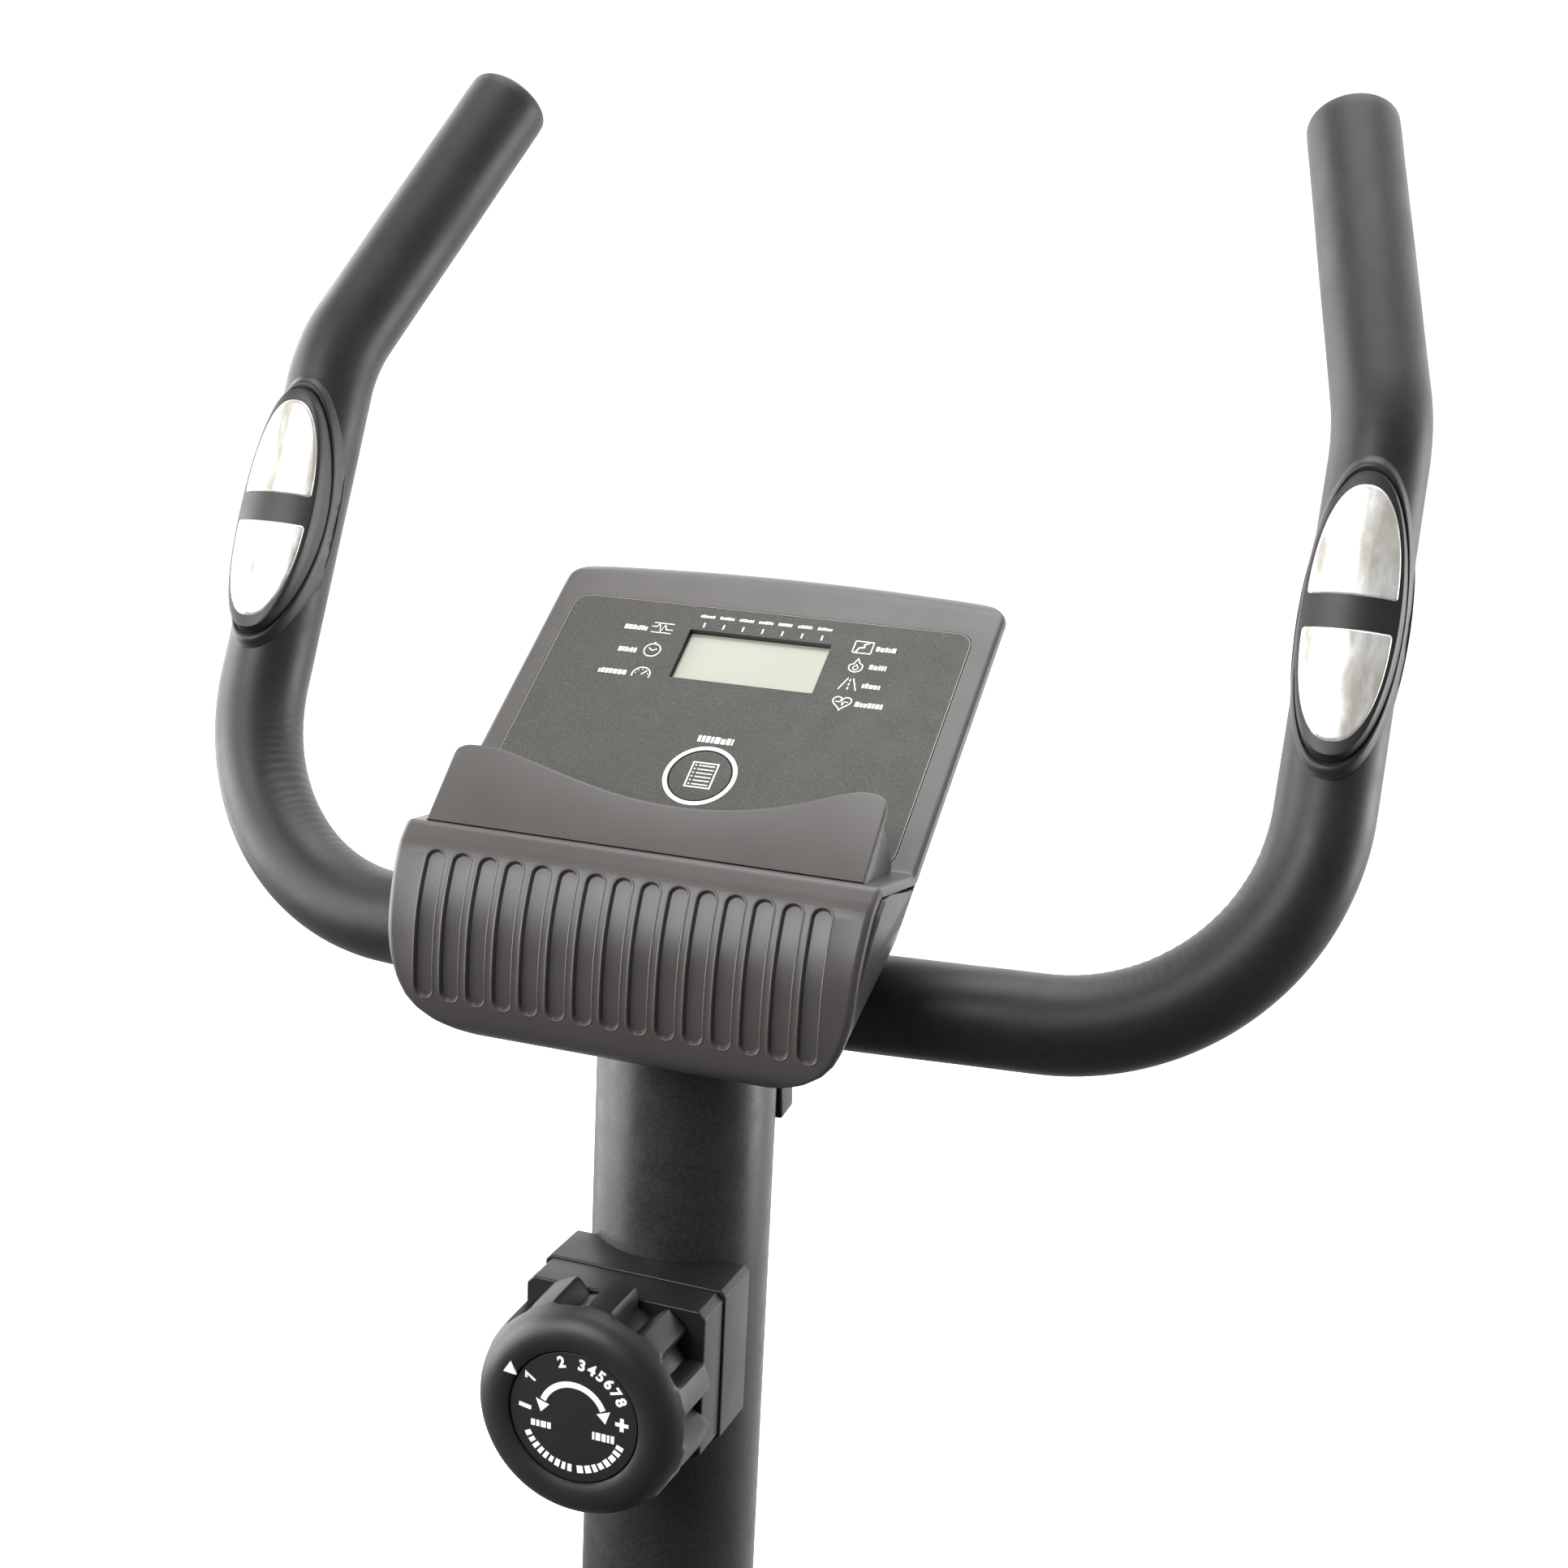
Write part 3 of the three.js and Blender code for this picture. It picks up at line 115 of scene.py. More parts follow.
class Look:
    """A node material built step by step."""

    def __init__(self, name, base, rough, metallic=0.0, specular=0.5):
        self.material = bpy.data.materials.new(name)
        self.material.use_nodes = True
        self.nodes = self.material.node_tree.nodes
        self.links = self.material.node_tree.links
        self.shader = self.nodes["Principled BSDF"]
        self.set("Base Color", linear(base))
        self.set("Roughness", rough)
        self.set("Metallic", metallic)
        self.set("Specular IOR Level", specular)
        self.place = self.add("ShaderNodeTexCoord").outputs["Object"]

    def set(self, socket, value):
        self.shader.inputs[socket].default_value = value
        return self

    def add(self, kind, **settings):
        node = self.nodes.new(kind)
        for key, value in settings.items():
            setattr(node, key, value)
        return node

    def stretched(self, scale):
        mapping = self.add("ShaderNodeMapping")
        mapping.inputs["Scale"].default_value = scale
        self.links.new(self.place, mapping.inputs["Vector"])
        return mapping.outputs["Vector"]

    def noise(self, size_mm, detail=2.0, rough=0.5, stretch=None):
        node = self.add("ShaderNodeTexNoise")
        node.inputs["Scale"].default_value = 1000 / size_mm
        node.inputs["Detail"].default_value = detail
        node.inputs["Roughness"].default_value = rough
        self.links.new(self.stretched(stretch) if stretch else self.place, node.inputs["Vector"])
        return node.outputs["Fac"]

    def ramp(self, fac, stops):
        node = self.add("ShaderNodeValToRGB")
        fill_ramp(node, stops)
        self.links.new(fac, node.inputs["Fac"])
        return node.outputs["Color"]

    def colors(self, fac, stops):
        self.links.new(self.ramp(fac, stops), self.shader.inputs["Base Color"])
        return self

    def roughness(self, fac, low, high, start=0.35, end=0.65):
        self.links.new(self.ramp(fac, [(start, low), (end, high)]), self.shader.inputs["Roughness"])
        return self

    def bump(self, height, depth_mm, strength=1.0):
        node = self.add("ShaderNodeBump")
        node.inputs["Distance"].default_value = depth_mm * 0.001
        node.inputs["Strength"].default_value = strength
        self.links.new(height, node.inputs["Height"])
        before = self.shader.inputs["Normal"].links
        if before:
            self.links.new(before[0].from_socket, node.inputs["Normal"])
        self.links.new(node.outputs["Normal"], self.shader.inputs["Normal"])
        return self

    def cells(self, size_mm, feature="F1"):
        node = self.add("ShaderNodeTexVoronoi", feature=feature)
        node.inputs["Scale"].default_value = 1000 / size_mm
        self.links.new(self.place, node.inputs["Vector"])
        return node.outputs["Distance"]


def moulded(name, dark, light, rough, grain_mm=0.5, depth_mm=0.02, specular=0.5):
    """Moulded plastic: cloudy colour, a fine spark-eroded grain, uneven satin."""
    look = Look(name, dark, rough, specular=specular)
    look.colors(look.noise(38, 3), [(0.3, dark), (0.7, light)])
    look.roughness(look.noise(16, 3), rough - 0.02, rough + 0.03)
    look.bump(look.noise(grain_mm, 2), depth_mm, 0.6)
    return look.material


def powder(name, dark, light, rough):
    """Powder coat: a fine orange peel over a pinhead grain, with a few brighter specks."""
    look = Look(name, dark, rough)
    look.colors(look.noise(1.1, 2), [(0.35, dark), (0.62, light)])
    look.roughness(look.noise(9, 3), rough - 0.05, rough + 0.05)
    look.bump(look.noise(1.3, 2), 0.06, 0.5)
    look.bump(look.noise(0.5, 1), 0.02, 0.4)
    return look.material


def foam_look():
    """Closed-cell foam: fine cells and a faint bloom."""
    look = Look("foam", "232324", 0.46, specular=0.45)
    look.colors(look.noise(3, 3), [(0.3, "212122"), (0.7, "272728")])
    look.roughness(look.noise(18, 3), 0.4, 0.48)
    look.bump(look.cells(0.7), 0.025, 0.3)
    look.set("Sheen Weight", 0.06)
    look.set("Sheen Roughness", 0.5)
    return look.material


def film_look():
    """The console's overlay: dark film with a fine metallic speck."""
    look = Look("overlay_film", "42403c", 0.46, specular=0.45)
    speck = look.noise(0.7, 2, 0.7)
    look.colors(speck, [(0.34, "3b3936"), (0.52, "44423e"), (0.72, "565450")])
    look.roughness(look.noise(12, 2), 0.46, 0.56)
    look.bump(look.noise(0.6, 2), 0.02, 0.5)
    return look.material


def brushed(name, dark, light, rough, stretch, grain_mm):
    """Bright plated steel with its grain drawn out along one axis."""
    look = Look(name, dark, rough, metallic=1.0)
    streaks = look.noise(grain_mm, 3, 0.6, stretch)
    look.colors(streaks, [(0.35, dark), (0.65, light)])
    look.roughness(streaks, rough - 0.03, rough + 0.05)
    look.bump(streaks, 0.002, 0.3)
    return look.material


def plate_look():
    """Stainless sensor plate: satin, with a soft sheen along the grain."""
    look = Look("sensor_steel", "f0eee9", 0.24, metallic=0.45, specular=0.6)
    streaks = look.noise(5, 3, 0.6, (1, 0.05, 0.4))
    look.colors(streaks, [(0.38, "dad5ca"), (0.58, "f6f5f2")])
    look.roughness(streaks, 0.2, 0.3)
    look.bump(look.noise(0.4, 2, 0.6, (1, 0.08, 1)), 0.002, 0.3)
    return look.material


def cast_look():
    """Cast iron, as the flywheel is left."""
    look = Look("cast_iron", "4e5052", 0.5, metallic=0.85)
    look.colors(look.noise(5, 4), [(0.35, "454749"), (0.7, "5d6063")])
    look.bump(look.noise(1.6, 3), 0.1, 0.6)
    return look.material


def rubber_look():
    look = Look("rubber", "17171a", 0.75, specular=0.3)
    look.colors(look.noise(6, 3), [(0.3, "151517"), (0.7, "202022")])
    look.bump(look.noise(0.8, 2), 0.05, 0.6)
    return look.material


def vinyl_look():
    """The saddle's cover: vinyl with a leather grain of small cells."""
    look = Look("vinyl", "161617", 0.45, specular=0.4)
    look.colors(look.noise(9, 3), [(0.3, "131314"), (0.7, "202021")])
    grain = look.cells(1.7, "DISTANCE_TO_EDGE")
    look.bump(look.ramp(grain, [(0.0, 0.0), (0.16, 1.0)]), 0.12, 0.5)
    look.roughness(look.noise(4, 2), 0.38, 0.52)
    return look.material


def lcd_painted_glow_look():
    """A switched-off display under a clear window, given a faint painted glow."""
    look = Look("lcd", "9ca090", 0.3, specular=0.5)
    look.colors(look.noise(60, 1), [(0.3, "999d8d"), (0.7, "a4a899")])
    look.bump(look.noise(0.35, 1), 0.004, 0.3)
    look.set("Coat Weight", 0.6)
    look.set("Coat Roughness", 0.06)
    # Painted glow: a faint emission lights the switched-off display from within.
    look.set("Emission Color", linear("ccd2c2"))
    look.set("Emission Strength", 0.04)
    return look.material


def print_with_painted_glow_look():
    look = Look("white_print_painted_glow", "e9e9e4", 0.5)
    look.colors(look.noise(0.8, 2), [(0.3, "dfdfda"), (0.7, "f2f2ee")])
    look.bump(look.noise(0.5, 1), 0.01, 0.3)
    # Painted glow: the emission lifts the white print above what the lamps give it.
    look.set("Emission Color", linear("ffffff"))
    look.set("Emission Strength", 0.3)
    return look.material


LOOKS = {
    "painted_frame": powder("powder_coat", "272727", "343433", 0.36),
    "grip_foam": foam_look(),
    "case_plastic": moulded("case_plastic", "4b4846", "504d4b", 0.34, 0.6, 0.02, 0.6),
    "trim_plastic": moulded("trim_plastic", "242426", "2a2a2b", 0.4, 0.5, 0.03),
    "cover_plastic": moulded("cover_plastic", "232325", "2b2b2d", 0.42, 0.9, 0.04),
    "overlay_film": film_look(),
    "display_glass": lcd_painted_glow_look(),
    "sensor_steel": plate_look(),
    "crank_steel": brushed("plated_steel", "a6a6a6", "b0b0b0", 0.3, (1, 1, 0.5), 9),
    "seat_post_steel": brushed("seat_post_steel", "a2a2a2", "b6b6b5", 0.26, (1, 1, 0.03), 0.9),
    "flywheel_iron": cast_look(),
    "rubber_black": rubber_look(),
    "saddle_vinyl": vinyl_look(),
    "board_green": moulded("board", "1f4a30", "2b5f3d", 0.45, 1.2, 0.02),
    "nylon_grey": moulded("nylon", "6e6f70", "858686", 0.42, 1.0, 0.03),
}
# White print with a painted glow from its emission.
WHITE_PRINT_WITH_PAINTED_GLOW = print_with_painted_glow_look()
# Near-black: painted shade in the console's speaker slots, and the real dark print of the seat post's scale.
SLOT_SHADE_AND_SCALE_PRINT = moulded("painted_slot_shade_and_scale_print", "0b0b0c", "111112", 0.6)
# Painted highlight: a light grey stands in for light catching the film's edge.
FILM_EDGE_PAINTED_HIGHLIGHT = moulded("film_edge_painted_highlight", "8a8781", "989590", 0.35, 0.6, 0.005)

for entry in frame["record"]["subparts"]:
    cad_mesh = frame["nodes"][entry["node"]].data
    cad_mesh.materials.clear()
    cad_mesh.materials.append(LOOKS[entry["material_slot"]])


# ---- shapes: (vertices, faces) in millimetres ------------------------------------------
def merge(*shapes):
    verts, faces = [], []
    for shape_verts, shape_faces in shapes:
        start = len(verts)
        verts += [Vector(v) for v in shape_verts]
        faces += [tuple(i + start for i in face) for face in shape_faces]
    return verts, faces


def moved(shape, matrix):
    return [matrix @ Vector(v) for v in shape[0]], shape[1]


def shifted(shape, x=0.0, y=0.0, z=0.0):
    return moved(shape, Matrix.Translation((x, y, z)))


def mirrored(shape):
    return [Vector((-v[0], v[1], v[2])) for v in shape[0]], [face[::-1] for face in shape[1]]


def on_side(shape, side):
    """A shape drawn for the right side, on the side asked for."""
    return shape if side > 0 else mirrored(shape)


def facing(axis):
    """The turn that brings Z to an axis."""
    return Vector((0, 0, 1)).rotation_difference(Vector(axis)).to_matrix().to_4x4()


def loft(rings, caps=True, loop=False):
    """Faces between equal closed rings of points; caps close the ends, loop joins them."""
    count = len(rings[0])
    verts = [Vector(p) for ring in rings for p in ring]
    faces = []
    last = len(rings) if loop else len(rings) - 1
    for r in range(last):
        a, b = r * count, ((r + 1) % len(rings)) * count
        for i in range(count):
            j = (i + 1) % count
            faces.append((a + i, a + j, b + j, b + i))
    if caps and not loop:
        faces.append(tuple(range(count))[::-1])
        faces.append(tuple(range((len(rings) - 1) * count, len(rings) * count)))
    return verts, faces


def polar(radius, angle, centre=(0.0, 0.0)):
    return centre[0] + radius * math.cos(angle), centre[1] + radius * math.sin(angle)


def circle(radius, sides):
    return [polar(radius, TAU * i / sides) for i in range(sides)]


def arc_line(radius, start, end, centre=(0.0, 0.0), steps=24):
    """Points along an arc between two angles in degrees."""
    return [
        polar(radius, math.radians(start + (end - start) * k / steps), centre)
        for k in range(steps + 1)
    ]


def hoop(centre, side, up, radius, sides):
    """A round ring of points about a centre, in the plane of side and up."""
    return [centre + side * x + up * y for x, y in circle(radius, sides)]


def fillet(points, radius, steps=4, closed=True):
    """Rounds the corners of a 2D or 3D line; radius is one number or one per point."""
    pts = [Vector(p) for p in points]
    count = len(pts)
    out = []
    for i, p in enumerate(pts):
        r = radius[i] if isinstance(radius, (list, tuple)) else radius
        if r <= 0 or (not closed and i in (0, count - 1)):
            out.append(p)
            continue
        a, b = pts[i - 1], pts[(i + 1) % count]
        to_a, to_b = a - p, b - p
        angle = to_a.angle(to_b)
        reach = r / math.tan(angle / 2) if angle < math.pi - 1e-3 else 0
        reach = min(reach, 0.49 * to_a.length, 0.49 * to_b.length)
        if reach < 1e-4:
            out.append(p)
            continue
        start, end = p + to_a.normalized() * reach, p + to_b.normalized() * reach
        for k in range(steps + 1):
            t = k / steps
            out.append(start * (1 - t) ** 2 + p * 2 * t * (1 - t) + end * t * t)
    return out


def rounded_rect(half_width, bottom, top, radius, steps):
    """A rectangle about x = 0, from bottom to top, with rounded corners."""
    corners = [(half_width, bottom), (half_width, top), (-half_width, top), (-half_width, bottom)]
    return fillet(corners, radius, steps)


def inset_line(points, distance):
    """A closed line moved inwards, for a line that runs anticlockwise."""
    pts = [Vector((p[0], p[1])) for p in points]
    out = []
    for i, p in enumerate(pts):
        before, after = (p - pts[i - 1]), (pts[(i + 1) % len(pts)] - p)
        before = before.normalized() if before.length > 1e-9 else after.normalized()
        after = after.normalized() if after.length > 1e-9 else before
        n0, n1 = Vector((-before.y, before.x)), Vector((-after.y, after.x))
        middle = n0 + n1
        scale = 1 / max(0.35, middle.length_squared / 2)
        out.append(p + middle / 2 * scale * distance)
    return out


def area(points):
    return sum(
        points[i - 1][0] * points[i][1] - points[i][0] * points[i - 1][1] for i in range(len(points))
    ) / 2


def prism(points, low, high, bevel=0.0, steps=3, bottom_bevel=None):
    """A plate along Z. Its edges are rounded, the bottom one by the same amount if none is given."""
    line = list(points) if area(points) > 0 else list(points)[::-1]
    under = bevel if bottom_bevel is None else bottom_bevel
    rings = []
    for size, level, side in ((under, low, -1), (bevel, high, 1)):
        ks = range(steps + 1) if size > 0 else [steps]
        ks = ks if side < 0 else reversed(ks)
        for k in ks:
            a = (k / steps) * math.pi / 2
            edge = inset_line(line, size * (1 - math.sin(a)))
            z = level - side * size * (1 - math.cos(a))
            rings.append([(p[0], p[1], z) for p in edge])
    return loft(rings)


TO_X = Matrix(((0, 0, 1, 0), (1, 0, 0, 0), (0, 1, 0, 0), (0, 0, 0, 1)))


def prism_x(points, low, high, bevel=0.0, steps=3):
    """A plate along X; its outline is in Y and Z."""
    return moved(prism(points, low, high, bevel, steps), TO_X)


def lathe(profile, sides=64, axis=None):
    """A turned body. The profile's points are (radius, height) along Z, or along axis."""
    rings = [[(x, y, height) for x, y in circle(radius, sides)] for radius, height in profile]
    closed = profile[0] == profile[-1] and profile[0][0] > 0
    shape = loft(rings[:-1] if closed else rings, caps=not closed, loop=closed)
    return moved(shape, facing(axis)) if axis else shape


def turned(profile, radius, steps=4):
    """The profile with its corners rounded, closed when it starts and ends at one point."""
    if profile[0] == profile[-1]:
        line = [tuple(p) for p in fillet(profile[:-1], radius, steps)]
        return line + [line[0]]
    return [tuple(p) for p in fillet(profile, radius, steps, closed=False)]


def bent_path(corners, bends, step=4.0, straight=12.0):
    """Points and directions along a line whose corners are rounded to their bend radii."""
    pts = [Vector(c) for c in corners]
    line = [pts[0]]
    for i in range(1, len(pts) - 1):
        before = (pts[i] - pts[i - 1]).normalized()
        after = (pts[i + 1] - pts[i]).normalized()
        angle = before.angle(after)
        axis = before.cross(after).normalized()
        centre = pts[i] + (after - before).normalized() * bends[i - 1] / math.cos(angle / 2)
        start = pts[i] - before * bends[i - 1] * math.tan(angle / 2) - centre
        count = max(3, round(math.degrees(angle) / step))
        for k in range(count + 1):
            line.append(centre + Matrix.Rotation(angle * k / count, 3, axis) @ start)
    line.append(pts[-1])
    out = [line[0]]
    for p in line[1:]:
        count = max(1, math.ceil((p - out[-1]).length / straight))
        last = out[-1]
        out += [last.lerp(p, k / count) for k in range(1, count + 1)]
    return out


def frames_along(line, first_side):
    """For each point: (point, side, up) turned as little as possible along the line."""
    out = []
    side = Vector(first_side)
    for i, p in enumerate(line):
        ahead = (line[min(i + 1, len(line) - 1)] - line[max(i - 1, 0)]).normalized()
        side = (side - ahead * side.dot(ahead)).normalized()
        out.append((p, side, ahead.cross(side).normalized()))
    return out


def tube(line, radius, sides=32):
    """A round bar along a line."""
    return loft([hoop(p, side, up, radius, sides) for p, side, up in frames_along(line, (0, 0, 1))])


def pipe(start, end, radius, bore, edge=0.4, sides=56):
    """A straight open tube with softened ends."""
    a, b = Vector(start), Vector(end)
    length = (b - a).length
    profile = [(bore, 0), (radius, 0), (radius, length), (bore, length), (bore, 0)]
    return shifted(lathe(turned(profile, edge, 2), sides, b - a), *a)


def rod(start, end, radius, edge=0.5, sides=40):
    """A straight solid bar with softened ends."""
    a, b = Vector(start), Vector(end)
    length = (b - a).length
    profile = [(0, 0), (radius, 0), (radius, length), (0, length)]
    return shifted(lathe(turned(profile, edge, 3), sides, b - a), *a)


def box(size, centre, edge=0.8, steps=2):
    """A block with all its edges rounded."""
    half = [s / 2 for s in size]
    shape = prism(rounded_rect(half[0], -half[1], half[1], edge, 3), -half[2], half[2], edge, steps)
    return shifted(shape, *centre)


def screw(x, y, z, radius=3.6, axis=(0, 0, 1)):
    """A pan-head screw with a cross recess, its head's base at the point."""
    head = lathe(turned([(0, 0), (radius, 0), (radius * 0.92, radius * 0.5), (0, radius * 0.62)], 0.5), 28)
    arms = [box((radius * 1.1, radius * 0.28, radius * 0.5), (0, 0, radius * 0.62), 0.1, 1)]
    arms.append(moved(arms[0], Matrix.Rotation(math.pi / 2, 4, "Z")))
    return moved(carved(head, *arms), Matrix.Translation((x, y, z)) @ facing(axis))


def hex_head(x, y, z, across=10.0, height=6.0, axis=(0, 0, 1)):
    """A hexagon bolt head on a washer."""
    washer = lathe(turned([(0, 0), (across * 0.95, 0), (across * 0.95, 1.4), (0, 1.4)], 0.4), 32)
    hexagon = prism(circle(across * 0.577, 6), 1.4, 1.4 + height, 0.9, 2, 0)
    return moved(merge(washer, hexagon), Matrix.Translation((x, y, z)) @ facing(axis))


def closed_object(name, shape, place, join_distance):
    """An object from a shape, with doubled points joined and every face turned outwards."""
    mesh = bpy.data.meshes.new(name)
    mesh.from_pydata([tuple(place @ Vector(v)) for v in shape[0]], [], shape[1])
    mesh_data = bmesh.new()
    mesh_data.from_mesh(mesh)
    bmesh.ops.remove_doubles(mesh_data, verts=mesh_data.verts, dist=join_distance)
    bmesh.ops.recalc_face_normals(mesh_data, faces=mesh_data.faces)
    mesh_data.to_mesh(mesh)
    mesh_data.free()
    obj = bpy.data.objects.new(name, mesh)
    scene.collection.objects.link(obj)
    return obj


def shape_of(obj):
    """An object's mesh after its modifiers, as a shape."""
    mesh = obj.evaluated_get(bpy.context.evaluated_depsgraph_get()).to_mesh()
    return [v.co.copy() for v in mesh.vertices], [tuple(p.vertices) for p in mesh.polygons]


def carved(shape, *cutters):
    """The shape with every cutter taken out of it."""
    body, *tools = [closed_object("temporary", s, HERE, 1e-5) for s in (shape, *cutters)]
    for tool in tools:
        modifier = body.modifiers.new("carve", "BOOLEAN")
        modifier.object = tool
        modifier.operation = "DIFFERENCE"
        modifier.solver = "EXACT"
    result = shape_of(body)
    for obj in [body, *tools]:
        data = obj.data
        bpy.data.objects.remove(obj)
        bpy.data.meshes.remove(data)
    return result


def build(name, shape, place, body, slot, replaces=(), look=None, sharp=34, smooth=0):
    """Makes one piece from a shape, gives it its finish and ties it to its CAD body."""
    obj = closed_object(name, shape, place, 1e-7)
    obj.data.shade_smooth()
    obj.data.set_sharp_from_angle(angle=math.radians(sharp))
    obj.data.materials.append(look or LOOKS[slot])
    if smooth:
        modifier = obj.modifiers.new("smooth", "SUBSURF")
        modifier.levels = smooth
        modifier.render_levels = smooth
    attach(obj, body)
    if replaces:
        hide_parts(*replaces)
    return obj


def blend_table(table, x):
    """Straight interpolation in a table of (x, value) pairs in rising order of x."""
    if x <= table[0][0]:
        return table[0][1]
    for (x0, y0), (x1, y1) in zip(table, table[1:]):
        if x <= x1:
            return y0 + (y1 - y0) * (x - x0) / (x1 - x0)
    return table[-1][1]


def ease(t):
    """A soft step from 0 to 1."""
    t = min(1.0, max(0.0, t))
    return t * t * (3 - 2 * t)


# ---- console ---------------------------------------------------------------------------
FACE_COS = math.cos(math.radians(FACE_TILT))
FACE_SIN = math.sin(math.radians(FACE_TILT))


def on_face(v, w):
    """A point of the console's face frame, as (y, z) in the head frame."""
    return Vector((FACE_Y + v * FACE_COS - w * FACE_SIN, FACE_Z + v * FACE_SIN + w * FACE_COS))


def in_face(point):
    """The way back: (y, z) in the head frame as (v, w) in the console's face frame."""
    y, z = point.x - FACE_Y, point.y - FACE_Z
    return y * FACE_COS + z * FACE_SIN, z * FACE_COS - y * FACE_SIN


def spline(points, steps=8):
    """A smooth line through points."""
    pts = [Vector(p) for p in points]
    pts = [pts[0] * 2 - pts[1], *pts, pts[-1] * 2 - pts[-2]]
    out = []
    for a, b, c, d in zip(pts, pts[1:], pts[2:], pts[3:]):
        for k in range(steps):
            t = k / steps
            out.append(
                ((b * 2) + (c - a) * t + (a * 2 - b * 5 + c * 4 - d) * t * t
                 + (b * 3 - a - c * 3 + d) * t ** 3) / 2
            )
    out.append(pts[-2])
    return out


class Arc:
    """A line measured by its length."""

    def __init__(self, points):
        self.points = [Vector(p) for p in points]
        self.at = [0.0]
        for a, b in zip(self.points, self.points[1:]):
            self.at.append(self.at[-1] + (b - a).length)

    def __call__(self, s):
        s = min(max(s, 0.0), self.at[-1])
        low, high = 0, len(self.at) - 1
        while high - low > 1:
            middle = (low + high) // 2
            if self.at[middle] <= s:
                low = middle
            else:
                high = middle
        span = self.at[high] - self.at[low]
        return self.points[low].lerp(self.points[high], (s - self.at[low]) / span if span else 0)

    def normal(self, s):
        along = (self(s + 0.4) - self(s - 0.4)).normalized()
        return Vector((along.y, -along.x))


GROOVE_PITCH = 9.06
GROOVES = [GROOVE_PITCH * (k - 7) for k in range(15)]
GROOVE_HALF = 3.15
GROOVE_DEPTH = 1.3
GROOVE_TOP_Z = 74.6
GROOVE_LOW_Z = 30.4
SHELL_THICK = 3.0
SHELL_EDGE = 2.4
FACE_HALF = 80.3
APRON_HALF = [
    (12, 44), (15, 48), (17.5, 52), (19, 56.5), (22, 62.6), (26, 67.8), (30, 71), (35, 73.4),
    (40, 75), (44, 76), (50, 76.8), (60, 77.3), (75, 78.2), (81, 78.6),
]
RIDGE = (-38.9, 80.2)


def front_profile():
    """The front case's side view: rolled top, flat face, ridge, then the apron's long curve."""
    top = fillet(
        [on_face(84, -15), on_face(91.5, -13), on_face(94, -6), on_face(88, -0.4), on_face(76, 0)],
        [0, 3, 7, 14, 0], 6, closed=False,
    )
    face = fillet([on_face(76, 0), on_face(-27, 0), RIDGE], [0, 1.6, 0], 4, closed=False)
    apron = spline([
        RIDGE, (-46, 74.8), (-52, 66), (-56.5, 56), (-59, 46), (-60.5, 36), (-60.4, 28),
        (-58.6, 21.5), (-54.5, 17), (-49, 15),
    ])
    line = top + face[1:-1] + apron
    corner = len(top) + len(face) - 2
    start = max(0, corner - 1)
    rounded = fillet([line[start], line[corner], line[corner + 5]], [0, 3.4, 0], 6, closed=False)
    return Arc(line[:start] + rounded + line[corner + 6:])


def arc_where(profile, condition, step=0.05):
    """How far along a profile a condition on its points first holds."""
    s = 0.0
    while s < profile.at[-1] and not condition(profile(s)):
        s += step
    return s


def half_width(point, s, ridge_s):
    """Half the front case's width at a point of its profile."""
    if s > ridge_s:
        return blend_table(APRON_HALF, point.y)
    v, w = in_face(point)
    if v > 82:
        tuck = 0.5 * max(0.0, -3 - w)
        return FACE_HALF - 9 - tuck + math.sqrt(max(0.0, 81 - (min(v, 91) - 82) ** 2))
    if v < -27:
        return FACE_HALF + (78.6 - FACE_HALF) * min(1, (-27 - v) / 20)
    return FACE_HALF


def groove_depth(x, s, first, last):
    """Depth of the apron's round-ended grooves, each with a low lip along its edge."""
    nearest = min(GROOVES, key=lambda g: abs(g - x))
    along = min(max(s, first + GROOVE_HALF), last - GROOVE_HALF)
    inside = GROOVE_HALF - math.hypot(x - nearest, s - along)
    lip = 0.12 * math.exp(-((inside + 0.22) / 0.2) ** 2)
    return GROOVE_DEPTH * ease(inside / 0.6) - lip


